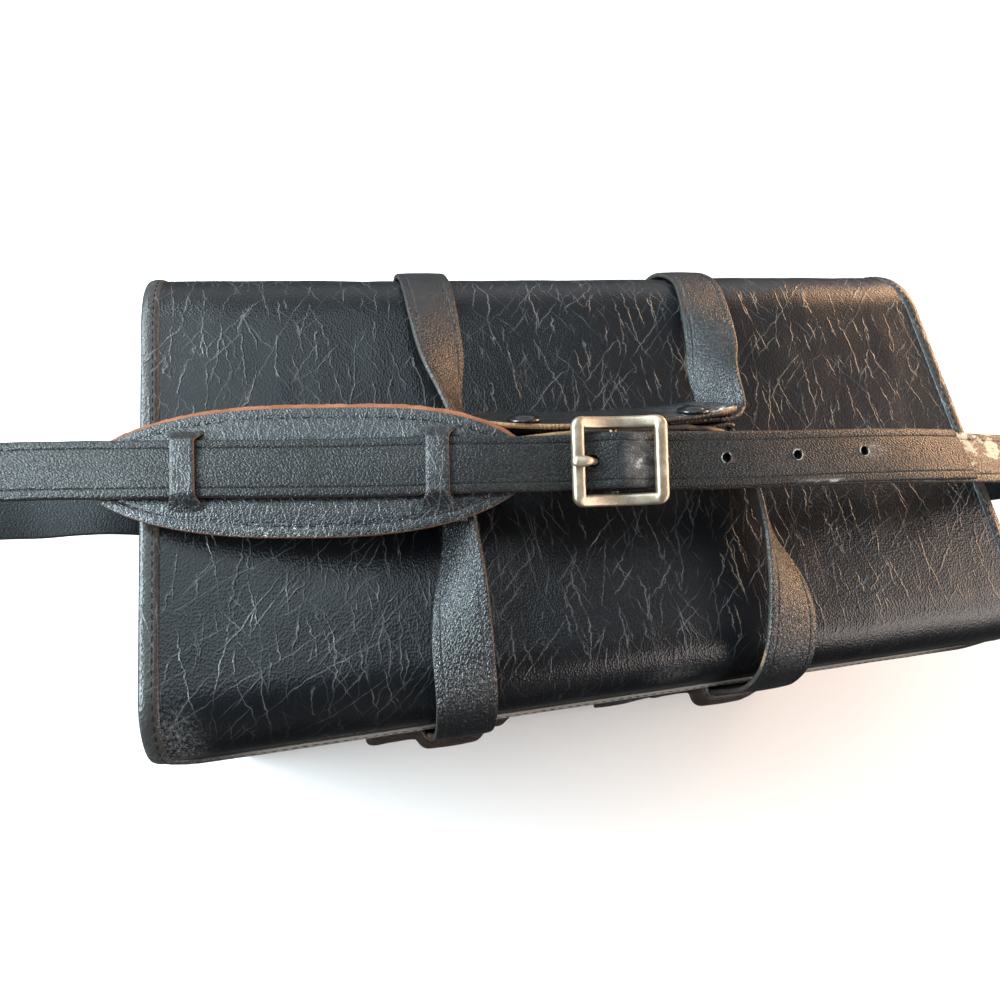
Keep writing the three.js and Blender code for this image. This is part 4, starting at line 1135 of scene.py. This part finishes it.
# Rows of x, y, height above the lid plane, and the normal
long_rows = [
    (-sewn_x, 3, -80, (-1, 0, 0)),
    (-sewn_x, 3, -58, (-1, 0, 0)),
    (-171.5, 3, -47, (-0.7, 0, -0.7)),
    (-184, 3.5, -42, (-0.1, 0, -1)),
    (-215, 4.5, -42.5, (0.05, 0, -1)),
    (-240, 5, -37, (-0.45, 0, -0.9)),
    (-253, 5.5, -21.5, (-1, 0, 0)),
    (-243, 5.3, -6.5, (-0.55, 0, 0.85)),
    (-222, 4.8, -3.5, (-0.2, 0, 1)),
    (-205, 3.6, -1, (-0.15, 0, 1)),
    (-154, -3.2, 9, UP),
    (-100, -10, 17.2, (0, -0.05, 1)),
    (-60, -14.8, 24.7, (0, -0.14, 1)),
    (-30, -17.5, 27.4, (0, -0.28, 1)),
    (BUCKLE_X, -18.9, 30, (0, -0.36, 1)),
    (10, -20.6, 31, (0, -0.36, 1)),
    (36, -22.7, 32.8, (0, -0.3, 1)),
    (70, -24.3, 33.8, (0, -0.2, 1)),
    (100, -25.5, 33.4, (0, -0.1, 1)),
    (127, -26.5, 31.6, (0, -0.05, 1)),
]
long_route = Route([(x, y, HEIGHT + h) for x, y, h, _ in long_rows], [n for *_, n in long_rows])


def along_at_x(x):
    """The distance along the long strap's upper run at a given x."""
    first = np.argmin(long_route.place[:, 0])
    return np.interp(x, long_route.place[first:, 0], long_route.along[first:])


PRONG_HOLE_X = -19.4
PRONG_HOLE_RADIUS = 2.1
# Each hole's place along the case and across the strap
HOLES = ((5, 0), (27, -0.45), (53.3, -0.7), (79.7, -1.2))
HOLE_RADIUS = 1.8
HOLE_SIDES = 28
TIP_ANGLE = math.radians(14)
TIP_TRIM = 2.6
HUMP_HEIGHT = 2.6
HUMP_X = -9
HUMP_SPREAD = 7.5


def strap_hump(a):
    """How far the long half stands up over the buckle's centre bar."""
    return HUMP_HEIGHT * np.exp(-((a - along_at_x(HUMP_X)) / HUMP_SPREAD) ** 2)


def long_x(a):
    return np.interp(a, long_route.along, long_route.place[:, 0])


def long_narrow(a):
    """The long half is stretched narrower at the buckle and a little on its way to the tip."""
    x = long_x(a)
    by_buckle = smooth(a, along_at_x(-85), along_at_x(-45)) * smooth(x, 100, 60)
    return 1 - 0.07 * by_buckle - 0.035 * smooth(x, 60, 100)


# The long half's spots: a rubbed place by a hole, and by the buckle a painted sheen on the hump with some
# real rubbing, in rows as for the lid
LONG_RUBS_AND_SHEEN = (
    ((84, -1.5), (0.6, 1), 5, 0.5, 0.84),
    ((-3.8, -1), (0.85, 0.42), 9.5, 0.5, 0.83),
)


def long_wear_and_sheen(a, v, n):
    """Rubbed places by the holes and along the front edge, and by the buckle a painted sheen on the hump with
    some real rubbing.
    """
    x = long_x(a)
    upper = smooth(a, along_at_x(-200), along_at_x(-180)) * (n > -0.6)
    edge = smooth(v, 7.6, 9.2) * smooth(np.abs(x - 62), 14, 4) * 0.95
    tip = smooth(x, 108, 127) * 0.2
    spots = [rub_and_sheen_spot(x, v, *row) for row in LONG_RUBS_AND_SHEEN]
    return upper * np.maximum.reduce([edge, tip, *spots])


def hole_cutter(x, across, radius):
    a = along_at_x(x)
    turn = full_turn(HOLE_SIDES)
    rings = [long_route.at(a + radius * np.cos(turn), across + radius * np.sin(turn), n) for n in (-3, 4)]
    return add_cutter(np.concatenate(rings), tube_faces(2, HOLE_SIDES))


long_strap = add_strap("shoulder_long", long_route, strap_section, shoulder_paint, 3, ["shoulder_strap_long"],
                       step=1.3, tip=lambda v: -TIP_TRIM + v * math.tan(TIP_ANGLE), wear_and_sheen=long_wear_and_sheen,
                       rise=strap_hump, narrow=long_narrow)
hole_cutters = [hole_cutter(x, v, HOLE_RADIUS) for x, v in HOLES]
cut_holes(long_strap, hole_cutters + [hole_cutter(PRONG_HOLE_X, 0, PRONG_HOLE_RADIUS)])


def build_rims():
    """The worn rims of the punched holes: rings that stand a little proud of the strap."""
    sides, around = 8, 36
    turn = full_turn(sides)
    spin = full_turn(around)[:, None]
    loop = stack(np.cos(spin) * 3, np.sin(spin) * 3, 0)
    points, faces, marks = [], [], []
    for seed, (x, across) in enumerate(HOLES, 51):
        fat = 0.24 + 0.1 * noise(loop, 1.5, seed)
        reach = HOLE_RADIUS + 0.05 + fat * np.cos(turn)
        a = along_at_x(x) + reach * np.cos(spin)
        out = half_thick + 0.12 + fat * 0.7 * np.sin(turn) + strap_hump(a)
        faces += grid_faces(around, sides, len(points) * around * sides, around=True, closed=True)
        points.append(long_route.at(a, across + reach * np.sin(spin), out))
        worn = 0.5 + 0.5 * smooth(noise(loop, 2.5, seed + 9), -0.3, 0.4)
        marks.append(stack(worn + 0 * reach, 0, 0))
    add_piece("strap_hole_rims", np.array(points), faces, rim_paint, "strap_leather", marks=np.array(marks))


build_rims()


# The buckle, in its own axes: x along the strap, y across it, z out

CENTRE_BAR_RADIUS = 1.25
FRAME_SAG = 3.4
FRAME_CORNER = 1.5
FRAME_STEP = 0.9
LUG_WIDTH = 2.4
LUG_SIZE = (1.7, 1.2)
PRONG_RADIUS = 1.15
TUBE_SIDES = 16
buckle_a = along_at_x(BUCKLE_X)
buckle_spot = long_route.at(buckle_a, 0, 0)
bar_x = (BUCKLE_LENGTH - BUCKLE_BAR) / 2
left_bar, right_bar = (long_route.at(along_at_x(buckle_spot[0] + side * bar_x), 0, 0) for side in (-1, 1))
axis_x = unit(right_bar - left_bar)
axis_y = unit(np.cross(long_route.look(long_route.normal, buckle_a), axis_x))
axis_z = np.cross(axis_x, axis_y)
buckle_axes = np.array([axis_x, axis_y, axis_z])
buckle_origin = (left_bar + right_bar) / 2
strap_rise = float((buckle_spot - buckle_origin) @ axis_z)
centre_bar_z = strap_rise - STRAP_THICKNESS * 1.5 - 2 * GAP - CENTRE_BAR_RADIUS
side_bar_z = half_thick + 2 * GAP + BUCKLE_THICKNESS / 2
lug_y = half_width + 1 + LUG_WIDTH / 2


def in_buckle(points):
    return np.asarray(points, float) @ buckle_axes + buckle_origin


def along_line(line, tangent, up, section):
    """Rings of a section along a line. section rows are across and up."""
    across = unit(np.cross(unit(tangent), up))
    up = np.cross(across, unit(tangent))
    return line[:, None] + across[:, None] * section[..., :1] + up[:, None] * section[..., 1:]


def closed_tube(rings, darkening):
    """A tube's points, faces, places before bending and marks."""
    spots = rings.reshape(-1, 3)
    return spots, tube_faces(*rings.shape[:2]), spots, np.tile([0, darkening, 0], (len(spots), 1))


def buckle_loop():
    """The frame round the strap, which sags between its two bars, painted darker on its underside and sides.
    """
    half_y = (BUCKLE_WIDTH - BUCKLE_BAR) / 2
    outline = rounded_rectangle(-bar_x, bar_x, -half_y, half_y, FRAME_CORNER, gap=FRAME_STEP)
    line = np.array([(x, y, side_bar_z - FRAME_SAG * (1 - (x / bar_x) ** 2)) for x, y in outline])
    w, t = BUCKLE_BAR / 2, BUCKLE_THICKNESS / 2
    bend = [(w * math.cos(q) ** 0.6, t * math.sin(q) ** 0.75) for q in np.radians((0, 22, 42, 60, 76))]
    low = [(-w, -t + 0.4), (-w + 0.4, -t), (w - 0.4, -t), (w, -t + 0.4)]
    ring = np.array(bend + [(-x, y) for x, y in bend[::-1]] + low)
    rows, count = len(line), len(ring)
    section = np.repeat(ring[None], rows, 0)
    section[..., 1] += noise(line, 6, 61)[:, None] * 0.06
    points = along_line(line, np.roll(line, -1, 0) - np.roll(line, 1, 0), UP, section)
    darkening = np.zeros((rows, count, 3))
    darkening[:, [0, 9], 1] = 0.9
    darkening[:, [1, 8], 1] = 0.35
    darkening[:, 10:, 1] = 1
    rest = stack(np.arange(rows)[:, None] * FRAME_STEP, ring[:, 0], ring[:, 1])
    faces = grid_faces(rows, count, around=True, closed=True)
    return points.reshape(-1, 3), faces, rest.reshape(-1, 3), darkening.reshape(-1, 3)


def build_buckle():
    turn = full_turn(TUBE_SIDES)
    circle = np.stack([np.cos(turn), np.sin(turn)], -1)
    bar = stack(0, np.linspace(-lug_y, lug_y, 9), centre_bar_z)
    bar_rings = along_line(bar, np.gradient(bar, axis=0), UP, CENTRE_BAR_RADIUS * circle[None])
    parts = [buckle_loop(), closed_tube(bar_rings, 0.6)]
    lug_ring = np.clip(1.25 * circle, -1, 1) * LUG_SIZE
    z = np.linspace(centre_bar_z - CENTRE_BAR_RADIUS, side_bar_z - FRAME_SAG + 0.4, 6)
    for side in (-1, 1):
        lug = stack(0, side * lug_y, z)
        parts.append(closed_tube(along_line(lug, np.gradient(lug, axis=0), (0, 1, 0), lug_ring[None]), 0.8))
    starts = np.cumsum([0] + [len(part[0]) for part in parts]).tolist()
    faces = [[k + start for k in f] for start, part in zip(starts, parts) for f in part[1]]
    spots, flat, marks = (np.concatenate([part[k] for part in parts]) for k in (0, 2, 3))
    add_piece("buckle_ring", in_buckle(spots), faces, metal_paint, "buckle_metal", ["buckle_frame"],
              flat=flat, marks=marks)


build_buckle()


def build_prong():
    hook = CENTRE_BAR_RADIUS + PRONG_RADIUS + GAP
    bar_top = side_bar_z + BUCKLE_THICKNESS / 2 + PRONG_RADIUS + GAP
    edge = -BUCKLE_LENGTH / 2
    line = []
    for k in range(7):
        angle = math.pi * (0.05 - k / 6 * 0.95)
        line.append((hook * math.cos(angle), 0, centre_bar_z + hook * math.sin(angle)))
    line += [(-5.8, 0, -1.6), (-8.9, 0, 2.0), (edge + BUCKLE_BAR + 0.8, 0, bar_top - 0.1)]
    line += [(edge + BUCKLE_BAR / 2, 0, bar_top), (edge - 0.4, 0, bar_top - 0.3)]
    route = Route(line, np.tile((0, 1, 0), (len(line), 1)), soften=0.5)
    a = np.linspace(0, route.length, 70)[:, None]
    turn = full_turn(TUBE_SIDES)
    point = smooth(a, route.length - 1.2, route.length)
    flatter = smooth(a, route.length - 8, route.length - 2)
    across = PRONG_RADIUS * (1 + 0.75 * flatter - 0.7 * point) * np.cos(turn)
    up = PRONG_RADIUS * (1 + 0.1 * flatter - 0.6 * point) * np.sin(turn)
    spots, faces, _, marks = closed_tube(route.at(a, up, across), 0.25)
    add_piece("buckle_pin", in_buckle(spots), faces, metal_paint, "buckle_metal", ["buckle_prong"],
              flat=stack(a, across, up), marks=marks)


build_prong()


# The short half: folded round the centre bar, under the long half, and out in a bight to the right end

FOLD_X = (24, 12, 2)
UNDER_X = (-6, 2, 10, 22, 36, 55, 78, 100)
# Rows of x, y, height above the lid plane, and the normal
short_tail = [
    (112, -26, 30, (0.1, -0.08, 1)),
    (139, -27.2, 27.5, (0.2, 0, 1)),
    (168, -27, 20, (0.35, 0, 0.9)),
    (197, -25, 4, (0.75, 0, 0.7)),
    (212, -20, -19, (1, 0, 0)),
    (206, -15, -42, (0.85, 0, -0.5)),
    (190, -11, -55, (0.45, 0, -0.9)),
    (174, -8.5, -62, (0.55, 0, -0.8)),
    (sewn_x, -7.5, -76, (1, 0, 0)),
    (sewn_x, -7.5, -100, (1, 0, 0)),
]


def short_route():
    turn = CENTRE_BAR_RADIUS + GAP + half_thick
    places = [in_buckle((x, 0, centre_bar_z - turn)) for x in FOLD_X]
    normals = [np.array((0, 0, -1.0)) @ buckle_axes for _ in FOLD_X]
    for k in range(1, 6):
        angle = -math.pi / 2 - math.pi * k / 6
        out = np.array([math.cos(angle), 0, math.sin(angle)])
        places.append(in_buckle(np.array([0, 0, centre_bar_z]) + out * turn))
        normals.append(out @ buckle_axes)
    for x in UNDER_X:
        a = along_at_x(x)
        places.append(long_route.at(a, 0, -STRAP_THICKNESS - GAP))
        normals.append(long_route.look(long_route.normal, a))
    places += [(x, y, HEIGHT + h) for x, y, h, _ in short_tail]
    normals += [n for *_, n in short_tail]
    return Route(places, normals, soften=1.2)


short_line = short_route()
PEEL_X = 134


def short_wear(a, v, n):
    """The peeled place beside the long half's free end, and rubbed edges."""
    x, _, z = np.moveaxis(short_line.look(short_line.place, a), -1, 0)
    upper = smooth(z, HEIGHT + 4, HEIGHT + 12) * (n > -0.6)
    peel = smooth(np.abs(x - PEEL_X), 20, 9) * smooth(v + 0.25 * (x - PEEL_X), 7.5, 1.5)
    edge = smooth(np.abs(v), 8.4, 9.8) * 0.5
    return upper * smooth(x, 100, 110) * np.maximum(peel, edge)


short_strap = add_strap("shoulder_short", short_line, strap_section, worn_paint, 4, ["shoulder_strap_short"],
                        step=1.0, wear_and_sheen=short_wear)
# The slot for the prong
slot_sides = ((-7.6, 4.4), (-2.2, 2.2), (centre_bar_z - 7, centre_bar_z + 7))
slot_faces = [[0, 1, 3, 2], [4, 6, 7, 5], [0, 4, 5, 1], [2, 3, 7, 6], [0, 2, 6, 4], [1, 5, 7, 3]]
cut_holes(short_strap, [add_cutter(in_buckle(list(itertools.product(*slot_sides))), slot_faces)])


# The pad: a black lens sewn to a raw hide one, with two bridges that the strap runs through

PAD_START = -184
PAD_END = -37.5
PAD_LAYER = PAD_THICKNESS / 2
SEAM_IN = 3.6
LINING_WIDER = 0.8
LINING_SHIFT = -1.1
half_pad = (PAD_END - PAD_START) / 2
pad_middle = (PAD_START + PAD_END) / 2


def pad_reach(share):
    return PAD_WIDTH / 2 * np.maximum(1 - np.abs(share) ** 2.6, 0.004) ** 0.62


def pad_along(share):
    return along_at_x(pad_middle + half_pad * share)


def pad_at(share, across, depth, wider=0.0, shift=0.0):
    share, across, depth = np.broadcast_arrays(*[np.asarray(v, float) for v in (share, across, depth)])
    reach = pad_reach(share)
    curl = 1.4 * across ** 2 * (reach / PAD_WIDTH)
    drop = half_thick + 2 * GAP + curl + depth
    return long_route.at(pad_along(share), across * (reach + wider * reach / (reach + 2)) + shift, -drop)


def under(rest, depth):
    """Two sides of a sheet before bending."""
    return rest, rest - np.array([0, 0, depth])


def build_pad():
    u = np.linspace(-1, 1, 124)
    share = np.sign(u) * (1 - (1 - np.abs(u)) ** 1.5)
    across = np.concatenate([[-1, -0.985], np.linspace(-0.965, 0.965, 52), [0.985, 1]])
    share, across = np.meshgrid(share, across, indexing="ij")
    reach = pad_reach(share)
    inside = np.minimum((1 - np.abs(across)) * reach, (1 - np.abs(share)) * half_pad * 1.1)
    groove = smooth(np.abs(inside - SEAM_IN), 0.9, 0.1)
    swell = 0.35 * smooth(inside, 3.8, 9) + 0.18 * smooth(inside, 0, 1.2) - 0.42 * groove
    rest = stack(half_pad * share, across * reach, 0)
    swell = swell + noise(rest, 9, 71) * 0.16 * smooth(inside, 0.5, 3)
    strap_room = smooth(np.abs(across * reach), half_width + 1.5, half_width - 1)
    swell = swell * (1 - strap_room) - 0.1 * strap_room
    marks = stack(np.maximum(np.abs(across) >= 1, np.abs(share) >= 1), groove * 0.9, 0)
    scuff = smooth(inside, 5.5, 3) * smooth(across, 0.2, 0.6) * smooth(np.abs(share + 0.15), 0.3, 0.05)
    scuff_end = smooth(inside, 4, 1) * smooth(across, -0.1, 0.4) * smooth(share, -0.5, -0.85) * 0.6
    add_shell("pad_top", pad_at(share, across, -swell), pad_at(share, across, PAD_LAYER), pad_paint,
              "pad_leather", ["shoulder_pad"], flat=under(rest, PAD_LAYER), marks=(marks, marks),
              wear_and_sheen=np.maximum(scuff, scuff_end) * 0.8)
    shift = noise(rest, 1.6, 72) * 0.2 * (np.abs(across) >= 1) + LINING_SHIFT
    depths = (PAD_LAYER + 0.05, PAD_THICKNESS)
    lining = [pad_at(share, across, depth, LINING_WIDER, shift) for depth in depths]
    add_shell("pad_lining", *lining, hide_paint, "pad_leather", flat=under(rest, PAD_LAYER))
    u = np.linspace(-0.93, 0.93, 260)
    edge = np.maximum(1 - SEAM_IN / pad_reach(u), 0.02)
    normals = long_route.look(long_route.normal, pad_along(u))
    lines = [(pad_at(u, side * edge, 0.18), normals) for side in (-1, 1)]
    add_thread("pad_stitches", lines, "pad_leather", pitch=4, radius=0.2)


build_pad()

BRIDGE_WIDTH = 7.5
BRIDGE_THICKNESS = 1.25
BRIDGE_FLARE = 5.5
BRIDGE_SINK = 2.2
# Each bridge's name, place and slant
BRIDGES = (("pad_bridge_left", -149.2, 0.13), ("pad_bridge_right", -69.8, 0))


def build_bridge(name, x, slant, seed):
    """A band of the pad's leather over the strap, which widens where it joins the pad."""
    out, flat = half_width + 8, half_width + 0.6
    clear = half_thick + GAP + 0.95
    low = -half_thick - 2 * GAP + 0.5
    share = np.array([-1, -0.95, -0.86, -0.7, -0.4, 0, 0.4, 0.7, 0.86, 0.95, 1])
    v, share = np.meshgrid(np.linspace(-out, out, 90), share, indexing="ij")
    far = np.abs(v)
    lift = smooth(far, flat + 3.4, flat - 1.8)
    rise = low + (clear + 0.3 * (1 - (v / out) ** 2) - low) * lift - BRIDGE_SINK * smooth(far, flat + 2, out)
    wide = share * (BRIDGE_WIDTH / 2 + BRIDGE_FLARE * smooth(far, flat - 2.5, out) ** 1.3)
    a = along_at_x(x) + wide + slant * v
    ripple = noise(stack(v, share * 4, 0), 3.5, seed) * 0.14
    round_off = -0.28 * smooth(np.abs(share), 0.8, 1) - 0.5 * share ** 2 * smooth(far, flat, out)
    rest = stack(wide + x - pad_middle, v, 0)
    marks = stack((np.abs(share) >= 0.99) * smooth(far, flat + 2, flat), 0, 0)
    outer = long_route.at(a, v, rise + ripple + round_off)
    inner = long_route.at(a, v, rise - BRIDGE_THICKNESS)
    add_shell(name, outer, inner, pad_paint, "pad_leather", flat=under(rest, BRIDGE_THICKNESS),
              marks=(marks, marks))


for seed, bridge in enumerate(BRIDGES, 75):
    build_bridge(*bridge, seed)


# The patches that the shoulder strap's ends are sewn to

TAB_HALF_WIDTH = 14
TAB_HALF_HEIGHT = 16
TAB_SEAM_IN = 2.6
# Each tab's name, side, y and height above the lid plane
TABS = (("left", -1, 3, -70), ("right", 1, -7.5, -89))


def build_tabs():
    seams = []
    for seed, (name, side, y, h) in enumerate(TABS, 81):
        z = HEIGHT + h
        box = rounded_rectangle(y - TAB_HALF_WIDTH, y + TAB_HALF_WIDTH, z - TAB_HALF_HEIGHT,
                                z + TAB_HALF_HEIGHT, 4, gap=1.5)
        build_plate(f"sewn_tab_{name}", box, end_x + GAP, TAB_THICKNESS, sideways(side), handle_paint,
                    "strap_leather", seed, [f"strap_tab_{name}"], puff=0)
        line = (np.array(box + box[:1]) - (y, z)) * (1 - TAB_SEAM_IN / TAB_HALF_WIDTH) + (y, z)
        seams.append(side_seam(line, side, end_x + GAP + TAB_THICKNESS + 0.05))
    for route, at_start in ((long_route, True), (short_line, False)):
        seams.append(sewn_box(route, at_start, 2.5, 14, half_width - TAB_SEAM_IN, crossed=True))
    add_thread("tab_stitches", seams, "strap_leather", pitch=2.8)


build_tabs()


# Floor, light and camera

FLOOR_REACH = 40 / MM
FLOOR_COLOUR = (0.72, 0.72, 0.72, 1)


def build_floor():
    corners = [(-FLOOR_REACH, -FLOOR_REACH, 0), (FLOOR_REACH, -FLOOR_REACH, 0), (FLOOR_REACH, FLOOR_REACH, 0),
               (-FLOOR_REACH, FLOOR_REACH, 0)]
    mesh = new_mesh("floor", corners, [[0, 1, 2, 3]])
    paint = Paint("pale_floor")
    mesh.materials.append(paint.gloss(Base_Color=FLOOR_COLOUR, Roughness=0.8, Specular_IOR_Level=0.1))
    floor = add_object("floor", mesh)
    floor.visible_glossy = False


build_floor()


def stand(thing, place, axes):
    """Puts a thing in its place, with its own x, y and z along axes."""
    thing.matrix_world = Matrix([[*row, p] for row, p in zip(np.array(axes).T, place)] + [[0, 0, 0, 1]])


# Each light's name, place, target, size, power and colour
LIGHTS = (
    ("cool_left", (-1.4, 0.25, 0.7), (0, 0, 0.19), (1.2, 0.7), 46, (0.76, 0.93, 1.0)),
    ("cool_back", (-0.85, 0.95, 0.87), (0, 0, 0.19), (0.7, 0.5), 9, (0.8, 0.95, 1.0)),
    ("cool_top", (-0.35, 0.5, 1.35), (-0.05, 0, 0.19), (1.0, 0.9), 6.5, (0.78, 0.93, 1.0)),
    ("warm_right", (1.2, -0.2, 0.98), (0.1, 0, 0.19), (0.7, 0.6), 6.2, (1.0, 0.84, 0.74)),
    ("warm_top", (0.9, 0.2, 1.15), (0.1, 0, 0.19), (0.7, 0.6), 0.7, (1.0, 0.84, 0.74)),
    ("front_right", (1.0, -0.9, 0.75), (0.12, -0.08, 0.18), (0.9, 0.6), 8.5, (1.0, 0.88, 0.82)),
    ("warm_low", (2.4, 0.8, 0.45), (0, 0, 0.19), (2.6, 0.8), 70, (1.0, 0.55, 0.25)),
)
for name, place, target, size, power, colour in LIGHTS:
    light = bpy.data.lights.new(name, "AREA")
    light.shape = "RECTANGLE"
    light.size, light.size_y = size
    light.energy = power
    light.color = colour
    out = unit(np.array(place, float) - np.array(target, float))
    side = unit(np.cross(UP, out))
    stand(add_object(name, light), place, [side, np.cross(out, side), out])

SKY_LOW = (0.75, 0.77, 0.8, 1)
SKY_HIGH = (0.12, 0.13, 0.145, 1)


def build_sky():
    """A sky that is paler at the horizon, and dimmer in front of the case and below it."""
    world = bpy.data.worlds.new("studio")
    bpy.context.scene.world = world
    world.use_nodes = True
    tree = world.node_tree
    way = add_node(tree, "TexCoord", {}).outputs["Generated"]
    height = separate(tree, way, 2)
    inputs = {0: height.span(-0.1, 0.9), 6: SKY_LOW, 7: SKY_HIGH}
    colour = add_node(tree, "Mix", inputs, data_type="RGBA").outputs[2]
    strength = separate(tree, way, 1).span(-0.7, 0.3, 0.25, 1) * height.span(-0.2, 0, 0.12, 1)
    sky = tree.nodes["Background"]
    tree.links.new(colour, sky.inputs["Color"])
    tree.links.new(strength.socket, sky.inputs["Strength"])


build_sky()

# The camera stands where the photograph was taken from. Its rows point right, down and ahead
CAMERA_PLACE = (-0.10566, -0.10123, 0.42908)
CAMERA_ROWS = ((0.96965, -0.14878, 0.19402), (-0.07574, -0.93730, -0.34020), (0.23246, 0.31518, -0.92012))
camera_data = bpy.data.cameras.new("camera")
camera_data.sensor_width = 36
camera_data.lens = 26.02
camera_data.clip_start = 0.01
camera = add_object("camera", camera_data)
stand(camera, CAMERA_PLACE, np.diag([1, -1, -1]) @ np.array(CAMERA_ROWS))
bpy.context.scene.camera = camera
bpy.context.scene.view_settings.view_transform = "Standard"
bpy.context.scene.view_settings.exposure = 0.6
